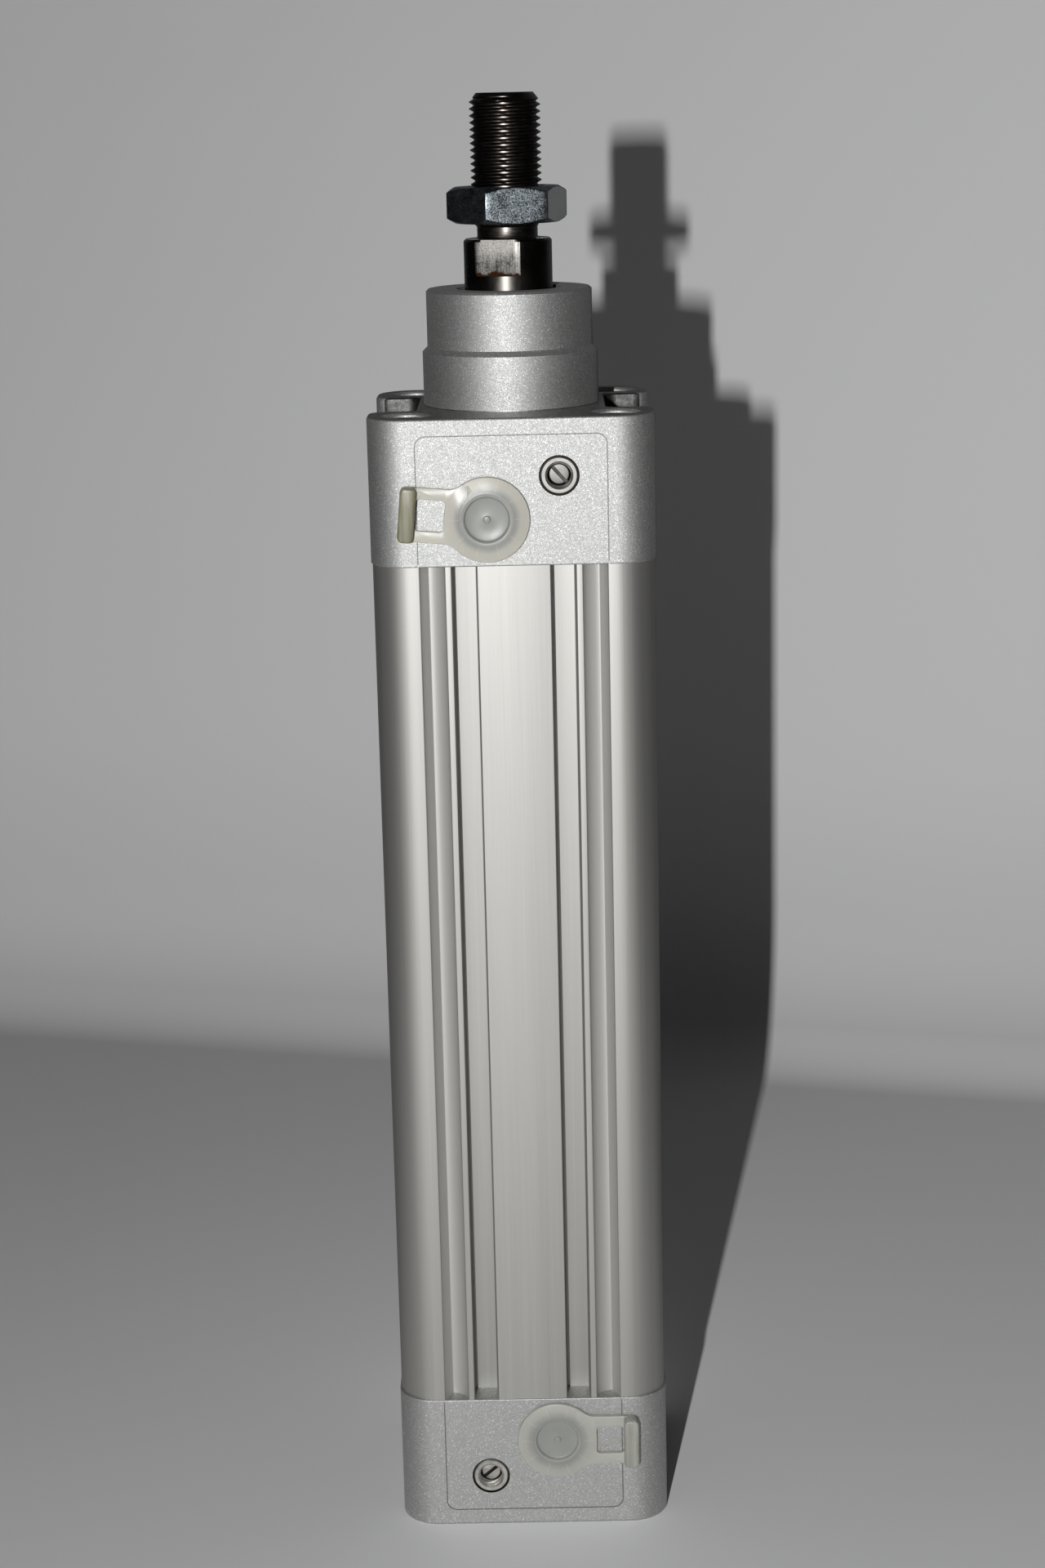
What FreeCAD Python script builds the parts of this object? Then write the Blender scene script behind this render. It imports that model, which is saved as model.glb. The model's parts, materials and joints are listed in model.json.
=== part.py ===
import FreeCAD, Part
import math
import os

from FreeCAD import Vector

# Pneumatic cylinder, upright on its rear cap, rod retracted. All values in mm.
# Origin: centre of the rear cap's mounting face. +Z runs to the rod end, ports face -Y.

BORE = 50.0
STROKE = 160.0
ROD_D = 20.0
END_GAP = 0.3
RUN_GAP = 0.05

# Caps
CAP_L = 32.7
CAP_OVER_BARREL = 0.3
SPIGOT_L = 8.0
SCREW_SPACING = BORE - 3.5
CAP_EDGE = 0.3
REAR_EDGE = 0.7
FRONT_EDGE = 0.6
RECESS_DEPTH = 4.0
COLLAR_D = 40.0
COLLAR_L = 26.0
COLLAR_STEP_L = 12.0
COLLAR_STEP_IN = 1.15
COLLAR_EDGE = 0.5
NOTCH_HALF = 14.5
NOTCH_DEPTH = 5.0
NOTCH_MARGIN = 1.4
NOTCH_MOUTH_R = 3.5
NOTCH_INNER_R = 3.0
LINE_HALF = 21.0
LINE_W = 0.25
LINE_DEPTH = 0.2
LINE_CORNER_R = 2.2
LINE_FRONT_OUT = 3.9
LINE_REAR_OUT = 4.2

# Barrel profile
BARREL_WALL = 6.7
BARREL_CORNER_R = 9.1
SLOT_X = 11.0
SLOT_W = 5.65
SLOT_DEPTH = 6.2
SLOT_LIP = 1.8
SLOT_UNDERCUT = 0.65
SLOT_FOOT = 1.6
LAND_W = 1.475
GROOVE_R = 3.8
GROOVE_SLANT = 1.8

# Ports and cushion needles
PORT_X = 5.65
PORT_IN = 10.5
PORT_D = 11.45
PORT_MAJOR_D = 13.16
PORT_PITCH = 1.337
PORT_TURNS = 6
NEEDLE_X = 10.45
NEEDLE_OUT = 12.85
NEEDLE_D = 5.2
NEEDLE_IN = 2.5
NEEDLE_CHAMFER = 0.45
NEEDLE_STEM_R = 1.6
NEEDLE_TIP_R = 0.4
NEEDLE_SLOT_W = 0.8
NEEDLE_SLOT_DEPTH = 0.9
NEEDLE_L = 11.1
BUSH_D = 8.2
BUSH_L = 10.0
RIM_W = 0.4
RIM_DEPTH = 0.5
NEEDLE_SEAL_R = 3.2
NEEDLE_SEAL_L = 1.8
PASSAGE_R = 0.8

# Port plugs
PLUG_D = 19.1
PLUG_T = 1.2
PLUG_STEM_GAP = 0.1
PLUG_STEM_L = 8.0
PLUG_WALL = 1.2
DISH_R = 4.9
DISH_FLOOR = 0.5
NUB_R = 0.75
TAB_HALF = 6.1
TAB_ARM_W = 2.6
TAB_REACH = 19.4
TAB_BAR_W = 3.5
TAB_BAR_T = 4.0
TAB_WINDOW_GAP = 0.35
FRONT_PLUG_TURN = 5.4

# Cap screws, with an M8 thread in each head
SCREW_HEAD_D = 10.0
SCREW_HEAD_GAP = 0.2
SCREW_HEAD_L = 18.0
SCREW_SHANK_D = 6.0
SCREW_SHANK_GAP = 0.15
SCREW_BITE = 20.0
SCREW_IN = 0.9
BOSS_CHAMFER = 0.5
TAP_D = 6.8
TAP_L = 16.0
TAP_CHAMFER = 0.7

# Rod end and nut
ROD_THREAD_D = 16.0
ROD_PITCH = 1.5
ROD_THREAD_L = 32.0
THREAD_DEPTH = 0.92
THREAD_CHAMFER = 1.6
SHOULDER_H = 37.0
SHOULDER_CHAMFER = 0.5
UNDERCUT_IN = 1.15
UNDERCUT_L = 3.0
FLATS_AF = 17.0
FLATS_L = 8.0
FLATS_TURN = -15.4
NUT_AF = 24.0
NUT_T = 8.0
NUT_UP = 3.5
NUT_TURN = 10.5
NUT_CHAMFER = 1.1
NUT_MOUTH = 0.8

# Piston
PISTON_L = 24.0
PISTON_GAP = 0.5
STUD_SHARE = 0.6
SEAL_ROOM = 5.0
SEAL_MARGIN = 2.4
SEAL_DEPTH = 4.2
GUIDE_L = 6.0
GUIDE_DEPTH = 1.2
MAGNET_L = 5.0
MAGNET_OUT = 5.0
MAGNET_T = 4.5
BUMPER_OUT = 4.5
BUMPER_W = 4.0
BUMPER_T = 1.5
O_RING_W = 1.6
O_RING_L = 2.2

# Cushions, seals and bush round the rod
SPEAR_L = 20.0
SPEAR_CHAMFER = 1.0
SPEAR_TAPER_L = 3.0
FRONT_SPEAR_WALL = 3.0
REAR_SPEAR_OVER = 1.0
SPEAR_CLEAR = 0.6
CHAMBER_OVER_FRONT = 2.0
CHAMBER_OVER_REAR = 3.0
CUSHION_ROOM = 4.3
CUSHION_SEAL_IN = 2.2
CUSHION_SEAL_L = 4.3
CUSHION_SEAL_W = 4.0
BUSH_WALL = 3.0
BUSH_PAST_FACE = 6.0
ROD_CLEAR = 0.5
ROD_SEAL_UP = 8.0
ROD_SEAL_L = 6.0
ROD_SEAL_W = 4.5
WIPER_L = 7.3
WIPER_IN = 1.2
WIPER_W = 1.9
TUBE_SEAL_W = 2.4
TUBE_SEAL_L = 2.4
TUBE_SEAL_SIDE = 0.2
TUBE_SEAL_UP = 4.0

# Derived places
BARREL_W = BORE + 2 * BARREL_WALL
CAP_W = BARREL_W + 2 * CAP_OVER_BARREL
TUBE_L = STROKE + PISTON_L + 2 * END_GAP + 2 * SPIGOT_L
Z_TUBE = CAP_L
Z_FRONT = Z_TUBE + TUBE_L
Z_TOP = Z_FRONT + CAP_L
Z_CHAMBER = Z_TUBE + SPIGOT_L
Z_CHAMBER_END = Z_FRONT - SPIGOT_L
Z_PISTON = Z_CHAMBER + END_GAP
Z_PISTON_TOP = Z_PISTON + PISTON_L
Z_COLLAR = Z_TOP + COLLAR_L
Z_SHOULDER = Z_TOP + SHOULDER_H
Z_ROD_END = Z_SHOULDER + ROD_THREAD_L
Z_NUT = Z_SHOULDER + NUT_UP
HALF = CAP_W / 2
BORE_R = BORE / 2
ROD_R = ROD_D / 2
THREAD_R = ROD_THREAD_D / 2
HALF_SPACING = SCREW_SPACING / 2
CORNER_R = HALF - HALF_SPACING
STUD_R = STUD_SHARE * ROD_R
FRONT_SPEAR_R = ROD_R + FRONT_SPEAR_WALL
REAR_SPEAR_R = ROD_R + REAR_SPEAR_OVER
CUSHION_FRONT_R = FRONT_SPEAR_R + CHAMBER_OVER_FRONT
CUSHION_REAR_R = REAR_SPEAR_R + CHAMBER_OVER_REAR
CUSHION_L = SPEAR_L + CUSHION_ROOM
PISTON_R = BORE_R - PISTON_GAP
BUSH_R = ROD_R + BUSH_WALL
Z_PORT_FRONT = Z_FRONT + PORT_IN
Z_PORT_REAR = CAP_L - PORT_IN
Z_NEEDLE_FRONT = Z_TOP - NEEDLE_OUT
Z_NEEDLE_REAR = NEEDLE_OUT
CHAMBER_FRONT_TOP = Z_CHAMBER_END + CUSHION_L
CHAMBER_REAR_FLOOR = Z_CHAMBER - CUSHION_L
REAR_SEAL_Z = (Z_CHAMBER - CUSHION_SEAL_IN - CUSHION_SEAL_L, Z_CHAMBER - CUSHION_SEAL_IN)
FRONT_SEAL_Z = (Z_CHAMBER_END + CUSHION_SEAL_IN, Z_CHAMBER_END + CUSHION_SEAL_IN + CUSHION_SEAL_L)
BUSH_Z = (CHAMBER_FRONT_TOP, Z_TOP + BUSH_PAST_FACE)
ROD_SEAL_Z = (Z_TOP + ROD_SEAL_UP, Z_TOP + ROD_SEAL_UP + ROD_SEAL_L)
WIPER_Z = (Z_COLLAR - WIPER_IN - WIPER_L, Z_COLLAR - WIPER_IN)
REAR_TUBE_SEAL_Z = Z_TUBE + TUBE_SEAL_UP
FRONT_TUBE_SEAL_Z = Z_FRONT - TUBE_SEAL_UP

os.makedirs("parts", exist_ok=True)
Y_AXIS = Vector(0, 1, 0)
Z_AXIS = Vector(0, 0, 1)
FACE = -HALF


def cyl(r, z0, z1, x=0.0, y=0.0):
    return Part.makeCylinder(r, z1 - z0, Vector(x, y, z0))


def ring(r_out, r_in, z0, z1):
    return cyl(r_out, z0, z1).cut(cyl(r_in, z0, z1))


def cyl_y(r, y0, y1, x, z):
    return Part.makeCylinder(r, y1 - y0, Vector(x, y0, z), Y_AXIS)


def cone_y(r0, r1, y0, y1, x, z):
    return Part.makeCone(r0, r1, y1 - y0, Vector(x, y0, z), Y_AXIS)


def box(x0, x1, y0, y1, z0, z1):
    return Part.makeBox(x1 - x0, y1 - y0, z1 - z0, Vector(x0, y0, z0))


def turned(shape, degrees, centre=None, axis=None):
    out = shape.copy()
    out.rotate(centre or Vector(0, 0, 0), axis or Z_AXIS, degrees)
    return out


def revolve(points):
    closed = [Vector(r, 0, z) for r, z in points]
    face = Part.Face(Part.makePolygon(closed + [closed[0]]))
    return face.revolve(Vector(0, 0, 0), Z_AXIS, 360)


def fuse(shapes):
    return shapes[0].fuse(shapes[1:]).removeSplitter()


def rounded_square(half, corner, z0, z1):
    body = box(-half, half, -half, half, z0, z1)
    upright = [
        e for e in body.Edges
        if abs(e.tangentAt(e.FirstParameter).z) > 0.99
    ]
    return body.makeFillet(corner, upright)


def edges_at(shape, z, reach):
    found = []
    for e in shape.Edges:
        b = e.BoundBox
        if abs(b.ZMin - z) < 1e-6 and abs(b.ZMax - z) < 1e-6:
            if max(abs(b.XMin), abs(b.XMax), abs(b.YMin), abs(b.YMax)) > reach:
                found.append(e)
    return found


def save(name, shape):
    if not shape.isValid():
        raise RuntimeError(name + " is not valid")
    if len(shape.Solids) == 1:
        shape = shape.Solids[0]
    shape.exportStep("parts/" + name + ".step")


def corners():
    return [(sx * HALF_SPACING, sy * HALF_SPACING) for sx in (-1, 1) for sy in (-1, 1)]


def ridges(r_crest, r_root, z0, z1, pitch):
    """Outline of a V thread as rings, from the axis outwards."""
    flat = pitch / 8
    slope = (pitch - 2 * flat) / 2
    points = [(r_root, z0)]
    z = z0 + 0.5 * flat
    while z + pitch <= z1:
        points.append((r_root, z))
        points.append((r_crest, z + slope))
        points.append((r_crest, z + slope + flat))
        points.append((r_root, z + 2 * slope + flat))
        z += pitch
    points.append((r_root, z1))
    return points


def outline(z_line, z_edge):
    """Thin engraved line on a cap's front face, open where the cap meets the barrel."""
    past = 3 * LINE_CORNER_R
    away = past if z_edge > z_line else -past
    z_mid = (z_line + z_edge + away) / 2
    z_half = abs(z_edge + away - z_line) / 2

    def panel(grow):
        body = box(
            -LINE_HALF - grow, LINE_HALF + grow, FACE - 1, FACE + LINE_DEPTH,
            z_mid - z_half - grow, z_mid + z_half + grow,
        )
        across = [e for e in body.Edges if abs(e.tangentAt(e.FirstParameter).y) > 0.99]
        return body.makeFillet(LINE_CORNER_R + grow, across)

    return panel(LINE_W).cut(panel(0))


def needle_cuts(x, z, chamber_z, passage_at):
    """Needle seat: bush bore, dark rim, seal pocket, orifice and the passage to the cushion chamber."""
    lo = min(z, chamber_z)
    hi = max(z, chamber_z)
    passage_y = -math.sqrt(passage_at ** 2 - x ** 2)
    pocket_end = FACE + BUSH_L + NEEDLE_SEAL_L + 2 * TUBE_SEAL_SIDE
    return [
        cyl_y(BUSH_D / 2, FACE - 1, FACE + BUSH_L, x, z),
        cyl_y(BUSH_D / 2 + RIM_W, FACE - 1, FACE + RIM_DEPTH, x, z),
        cyl_y(NEEDLE_SEAL_R, FACE + BUSH_L - 1, pocket_end, x, z),
        cyl_y(PASSAGE_R, pocket_end - 1, passage_y, x, z),
        cyl_y(NEEDLE_STEM_R + RUN_GAP, pocket_end - 1, FACE + NEEDLE_IN + NEEDLE_L + 1, x, z),
        cyl(PASSAGE_R, lo - PASSAGE_R, hi + PASSAGE_R, x, passage_y),
    ]


def port_cuts(x, z, depth_y):
    """Threaded air port with its mouth chamfer; the thread is drawn as rings."""
    deep = (PORT_MAJOR_D - PORT_D) / 2
    mouth = PORT_MAJOR_D / 2 + deep / 2
    cuts = [
        cone_y(mouth, PORT_D / 2, FACE, FACE + mouth - PORT_D / 2, x, z),
        cyl_y(PORT_D / 2, FACE - 1, depth_y, x, z),
    ]
    flank = 0.42 * PORT_PITCH
    for i in range(PORT_TURNS):
        y = FACE + deep + (i + 0.8) * PORT_PITCH
        cuts.append(cone_y(PORT_D / 2, PORT_D / 2 + deep, y, y + flank, x, z))
        cuts.append(cone_y(PORT_D / 2 + deep, PORT_D / 2, y + flank, y + 2 * flank, x, z))
    return cuts


def screw_cuts(z_face, inward):
    """Counterbores and shank holes at a cap's four corners; inward is +1 from the rear face."""
    deep = SCREW_IN + SCREW_HEAD_L
    cuts = []
    for x, y in corners():
        for r, a, b in (
            (SCREW_HEAD_D / 2 + SCREW_HEAD_GAP, -1, deep),
            (SCREW_SHANK_D / 2 + SCREW_SHANK_GAP, 0, CAP_L + 1),
        ):
            z0, z1 = sorted((z_face + inward * a, z_face + inward * b))
            cuts.append(cyl(r, z0, z1, x, y))
        r = SCREW_HEAD_D / 2 + SCREW_HEAD_GAP
        rim = Vector(x, y, z_face)
        cuts.append(Part.makeCone(r + BOSS_CHAMFER, r, BOSS_CHAMFER, rim, Vector(0, 0, inward)))
    return cuts


def tube_seal_groove(z_mid):
    half = TUBE_SEAL_L / 2 + TUBE_SEAL_SIDE
    return ring(BORE_R + 1, BORE_R - TUBE_SEAL_W, z_mid - half, z_mid + half)


# Rear cap
rear = rounded_square(HALF, CORNER_R, 0, CAP_L)
rear = rear.makeFillet(CAP_EDGE, edges_at(rear, CAP_L, HALF - 0.1))
rear = rear.makeFillet(REAR_EDGE, edges_at(rear, 0, HALF - 0.1))
rear = rear.fuse(cyl(BORE_R - RUN_GAP, CAP_L - 1, Z_CHAMBER)).removeSplitter()
rear_tools = [
    cyl(COLLAR_D / 2, -1, RECESS_DEPTH),
    cyl(CUSHION_REAR_R, CHAMBER_REAR_FLOOR, REAR_SEAL_Z[0] - 1),
    cyl(REAR_SPEAR_R + SPEAR_CLEAR, CHAMBER_REAR_FLOOR, Z_CHAMBER + 1),
    cyl(REAR_SPEAR_R + CUSHION_SEAL_W, REAR_SEAL_Z[0], REAR_SEAL_Z[1]),
    tube_seal_groove(REAR_TUBE_SEAL_Z),
    outline(LINE_REAR_OUT, CAP_L),
]
rear_tools += port_cuts(PORT_X, Z_PORT_REAR, -CUSHION_REAR_R + 1.5)
rear_tools += needle_cuts(-NEEDLE_X, Z_NEEDLE_REAR, CHAMBER_REAR_FLOOR, CUSHION_REAR_R - 1.5 * PASSAGE_R)
rear_tools += screw_cuts(0, 1)
save("rear_cap", rear.cut(rear_tools))

# Front cap
front = rounded_square(HALF, CORNER_R, Z_FRONT, Z_TOP)
front = front.makeFillet(CAP_EDGE, edges_at(front, Z_FRONT, HALF - 0.1))
notch_x = COLLAR_D / 2 + NOTCH_MARGIN
for side in (-1, 1):
    notch = box(notch_x, HALF + 1, -NOTCH_HALF, NOTCH_HALF, Z_TOP - NOTCH_DEPTH, Z_TOP + 1)
    inner = [
        e for e in notch.Edges
        if abs(e.tangentAt(e.FirstParameter).z) > 0.99 and e.BoundBox.XMax < notch_x + 0.1
    ]
    notch = notch.makeFillet(NOTCH_INNER_R, inner)
    if side < 0:
        notch = turned(notch, 180)
    front = front.cut(notch)
mouth = [
    e for e in front.Edges
    if abs(e.tangentAt(e.FirstParameter).z) > 0.99
    and abs(abs(e.BoundBox.Center.x) - HALF) < 0.01
    and abs(abs(e.BoundBox.Center.y) - NOTCH_HALF) < 0.01
]
front = front.makeFillet(NOTCH_MOUTH_R, mouth)
front = front.makeFillet(FRONT_EDGE, edges_at(front, Z_TOP, HALF - 2 * FRONT_EDGE))
collar_step = Z_TOP + COLLAR_STEP_L
upper_r = COLLAR_D / 2 - COLLAR_STEP_IN
collar = revolve([
    (0, Z_TOP - 1),
    (COLLAR_D / 2, Z_TOP - 1),
    (COLLAR_D / 2, collar_step),
    (upper_r, collar_step + COLLAR_STEP_IN),
    (upper_r, Z_COLLAR - COLLAR_EDGE),
    (upper_r - COLLAR_EDGE, Z_COLLAR),
    (0, Z_COLLAR),
])
front = front.fuse([collar, cyl(BORE_R - RUN_GAP, Z_CHAMBER_END, Z_FRONT + 1)]).removeSplitter()
front_tools = [
    cyl(FRONT_SPEAR_R + SPEAR_CLEAR, Z_CHAMBER_END - 1, CHAMBER_FRONT_TOP),
    cyl(CUSHION_FRONT_R, FRONT_SEAL_Z[1] + 1, CHAMBER_FRONT_TOP),
    cyl(FRONT_SPEAR_R + CUSHION_SEAL_W, FRONT_SEAL_Z[0], FRONT_SEAL_Z[1]),
    cyl(BUSH_R, BUSH_Z[0], BUSH_Z[1]),
    cyl(ROD_R + ROD_CLEAR, BUSH_Z[0], Z_COLLAR + 1),
    cyl(ROD_R + ROD_SEAL_W, ROD_SEAL_Z[0], ROD_SEAL_Z[1]),
    cyl(ROD_R + WIPER_W, WIPER_Z[0], Z_COLLAR + 1),
    tube_seal_groove(FRONT_TUBE_SEAL_Z),
    outline(Z_TOP - LINE_FRONT_OUT, Z_FRONT),
]
front_tools += port_cuts(-PORT_X, Z_PORT_FRONT, -CUSHION_FRONT_R + 1.5)
front_tools += needle_cuts(NEEDLE_X, Z_NEEDLE_FRONT, CHAMBER_FRONT_TOP, (BUSH_R + CUSHION_FRONT_R) / 2)
front_tools += screw_cuts(Z_TOP, -1)
save("front_cap", front.cut(front_tools))


# Barrel
def side_cuts():
    """Two sensor slots and two grooves of the side facing -Y."""
    face = -BARREL_W / 2
    along = Vector(0, 0, TUBE_L)
    slot_foot = 0.3
    over = 1.0
    groove_in = SLOT_X + SLOT_W / 2 + LAND_W
    deep_x = groove_in + GROOVE_R
    groove_out = deep_x + GROOVE_SLANT
    half_turn = math.sqrt(0.5)
    tools = []
    for s in (-1, 1):
        a = s * (SLOT_X - SLOT_W / 2)
        b = s * (SLOT_X + SLOT_W / 2)
        points = [
            (a, face - over),
            (a, face + SLOT_LIP),
            (a - s * SLOT_UNDERCUT, face + SLOT_LIP),
            (a - s * SLOT_UNDERCUT, face + SLOT_DEPTH - SLOT_FOOT),
            (a + s * slot_foot, face + SLOT_DEPTH),
            (b - s * slot_foot, face + SLOT_DEPTH),
            (b + s * SLOT_UNDERCUT, face + SLOT_DEPTH - SLOT_FOOT),
            (b + s * SLOT_UNDERCUT, face + SLOT_LIP),
            (b, face + SLOT_LIP),
            (b, face - over),
        ]
        corner_points = [Vector(x, y, Z_TUBE) for x, y in points]
        slot = Part.Face(Part.makePolygon(corner_points + [corner_points[0]]))
        tools.append(slot.extrude(along))
        start = Vector(s * groove_in, face, Z_TUBE)
        deep = Vector(s * deep_x, face + GROOVE_R, Z_TUBE)
        mid_x = deep_x - GROOVE_R * half_turn
        mid = Vector(s * mid_x, face + GROOVE_R * half_turn, Z_TUBE)
        end = Vector(s * groove_out, face, Z_TUBE)
        above_end = Vector(s * (groove_out + GROOVE_SLANT * over / GROOVE_R), face - over, Z_TUBE)
        above_start = Vector(s * groove_in, face - over, Z_TUBE)
        wire = Part.Wire([
            Part.Arc(start, mid, deep).toShape(),
            Part.makeLine(deep, above_end),
            Part.makeLine(above_end, above_start),
            Part.makeLine(above_start, start),
        ])
        tools.append(Part.Face(wire).extrude(along))
    return tools


barrel = rounded_square(BARREL_W / 2, BARREL_CORNER_R, Z_TUBE, Z_FRONT)
barrel_tools = [cyl(BORE_R, Z_TUBE - 1, Z_FRONT + 1)]
for quarter in range(4):
    barrel_tools += [turned(t, 90 * quarter) for t in side_cuts()]
for cx, cy in corners():
    barrel_tools.append(cyl(SCREW_SHANK_D / 2, Z_TUBE - 1, Z_FRONT + 1, cx, cy))
save("barrel", barrel.cut(barrel_tools))


# Static seals between caps and barrel, and cushion seals
def tube_seal(label, z_mid):
    half = TUBE_SEAL_L / 2
    save(label, ring(BORE_R, BORE_R - TUBE_SEAL_W, z_mid - half, z_mid + half))


tube_seal("rear_barrel_seal", REAR_TUBE_SEAL_Z)
tube_seal("front_barrel_seal", FRONT_TUBE_SEAL_Z)
save("rear_cushion_seal", ring(REAR_SPEAR_R + CUSHION_SEAL_W, REAR_SPEAR_R + RUN_GAP, *REAR_SEAL_Z))
save("front_cushion_seal", ring(FRONT_SPEAR_R + CUSHION_SEAL_W, FRONT_SPEAR_R + RUN_GAP, *FRONT_SEAL_Z))


def cap_screw(z_head, toward):
    """Screw whose head is tapped for the mounting bolt; toward is +1 if the shank runs to +Z."""
    def span(a, b):
        return sorted((z_head + toward * a, z_head + toward * b))

    shank_end = CAP_L - SCREW_IN + SCREW_BITE
    head = cyl(SCREW_HEAD_D / 2, *span(0, SCREW_HEAD_L))
    shank = cyl(SCREW_SHANK_D / 2, *span(SCREW_HEAD_L - 1, shank_end))
    tap = cyl(TAP_D / 2, *span(-1, TAP_L))
    mouth = Part.makeCone(
        TAP_D / 2 + TAP_CHAMFER, TAP_D / 2, TAP_CHAMFER, Vector(0, 0, z_head), Vector(0, 0, toward)
    )
    return fuse([head, shank]).cut([tap, mouth])


def placed(shape, x, y):
    out = shape.copy()
    out.translate(Vector(x, y, 0))
    return out


for side, sx in (("left", -1), ("right", 1)):
    for depth, sy in (("back", 1), ("front", -1)):
        x = sx * HALF_SPACING
        y = sy * HALF_SPACING
        place = side + "_" + depth
        save("rear_screw_" + place, placed(cap_screw(SCREW_IN, 1), x, y))
        save("front_screw_" + place, placed(cap_screw(Z_TOP - SCREW_IN, -1), x, y))

# Rod bush, rod seal and wiper
save("rod_bush", ring(BUSH_R, ROD_R + RUN_GAP, *BUSH_Z))
seal_low, seal_high = ROD_SEAL_Z
seal_mid = (seal_low + seal_high) / 2
save("rod_seal", revolve([
    (ROD_R + ROD_SEAL_W, seal_low),
    (ROD_R + ROD_SEAL_W, seal_high),
    (ROD_R + 0.8, seal_high),
    (ROD_R + RUN_GAP, seal_mid + 1),
    (ROD_R + RUN_GAP, seal_mid - 2),
    (ROD_R + 1.2, seal_low),
]))
wiper_low, wiper_high = WIPER_Z
save("rod_wiper", revolve([
    (ROD_R + WIPER_W, wiper_low),
    (ROD_R + WIPER_W, wiper_high - 0.6),
    (ROD_R + WIPER_W - 0.4, wiper_high - 0.6),
    (ROD_R + 0.5, wiper_high),
    (ROD_R + RUN_GAP, wiper_high),
    (ROD_R + RUN_GAP, wiper_high - 1.5),
    (ROD_R + 0.7, wiper_high - 2.6),
    (ROD_R + 0.7, wiper_low),
]))


# Cushion needles with their bushes and seals
def needle_set(label, x, z, slot_turn):
    bore = cyl_y(NEEDLE_D / 2 + RUN_GAP, FACE - 1, FACE + BUSH_L + 1, x, z)
    save(label + "_needle_bush", cyl_y(BUSH_D / 2, FACE, FACE + BUSH_L, x, z).cut(bore))
    top = FACE + NEEDLE_IN
    body_end = FACE + BUSH_L - 0.8
    tip = top + NEEDLE_L
    tip_start = tip - NEEDLE_STEM_R
    r = NEEDLE_D / 2
    needle = fuse([
        cone_y(r - NEEDLE_CHAMFER, r, top, top + NEEDLE_CHAMFER, x, z),
        cyl_y(r, top + NEEDLE_CHAMFER, body_end, x, z),
        cyl_y(NEEDLE_STEM_R, body_end, tip_start, x, z),
        cone_y(NEEDLE_STEM_R, NEEDLE_TIP_R, tip_start, tip, x, z),
    ])
    half = NEEDLE_SLOT_W / 2
    slot = box(x - r - 1, x + r + 1, top - 1, top + NEEDLE_SLOT_DEPTH, z - half, z + half)
    slot = turned(slot, slot_turn, Vector(x, 0, z), Y_AXIS)
    save(label + "_cushion_needle", needle.cut(slot))
    seal_y = FACE + BUSH_L + TUBE_SEAL_SIDE
    seal = cyl_y(NEEDLE_SEAL_R, seal_y, seal_y + NEEDLE_SEAL_L, x, z)
    hole = cyl_y(NEEDLE_STEM_R + RUN_GAP, seal_y - 1, seal_y + NEEDLE_SEAL_L + 1, x, z)
    save(label + "_needle_seal", seal.cut(hole))


needle_set("front", NEEDLE_X, Z_NEEDLE_FRONT, 48)
needle_set("rear", -NEEDLE_X, Z_NEEDLE_REAR, -40)


# Port plugs
def port_plug(label, x, z, turn):
    """Push-in plug with a pull tab, which points to +X before it is turned about the port."""
    stem_r = PORT_D / 2 - PLUG_STEM_GAP
    flange_r = PLUG_D / 2
    top = FACE - PLUG_T
    under = FACE - 0.02
    flange = cyl_y(flange_r, top, under, x, z)
    stem = cyl_y(stem_r, under - DISH_FLOOR, FACE + PLUG_STEM_L, x, z)
    hollow = cyl_y(stem_r - PLUG_WALL, FACE + DISH_FLOOR, FACE + PLUG_STEM_L + 1, x, z)
    dish = cyl_y(DISH_R, top - 1, FACE - DISH_FLOOR, x, z)
    nub = cyl_y(NUB_R, FACE - DISH_FLOOR - 0.3, FACE - 0.1, x, z)
    bar_in = TAB_REACH - TAB_BAR_W
    window_in = flange_r + TAB_WINDOW_GAP
    window_half = TAB_HALF - TAB_ARM_W
    arms = box(x + DISH_R, x + bar_in + 0.5, top, under, z - TAB_HALF, z + TAB_HALF)
    bar_top = FACE - TAB_BAR_T
    bar = box(x + bar_in, x + TAB_REACH, bar_top, under, z - TAB_HALF, z + TAB_HALF)
    bar = bar.makeFillet(0.8, [e for e in bar.Edges if abs(e.BoundBox.Center.y - bar_top) < 0.01])
    window = box(x + window_in, x + bar_in, top - 1, FACE + 1, z - window_half, z + window_half)
    middle = cyl_y(flange_r - 0.5, bar_top - 1, FACE + 1, x, z)
    tab = arms.fuse(bar).cut([window, middle])
    plug = flange.fuse([stem, tab]).cut([dish, hollow]).fuse(nub).removeSplitter()
    save(label + "_port_plug", turned(plug, turn, Vector(x, 0, z), Y_AXIS))


port_plug("front", -PORT_X, Z_PORT_FRONT, 180 + FRONT_PLUG_TURN)
port_plug("rear", PORT_X, Z_PORT_REAR, 0)

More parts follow.
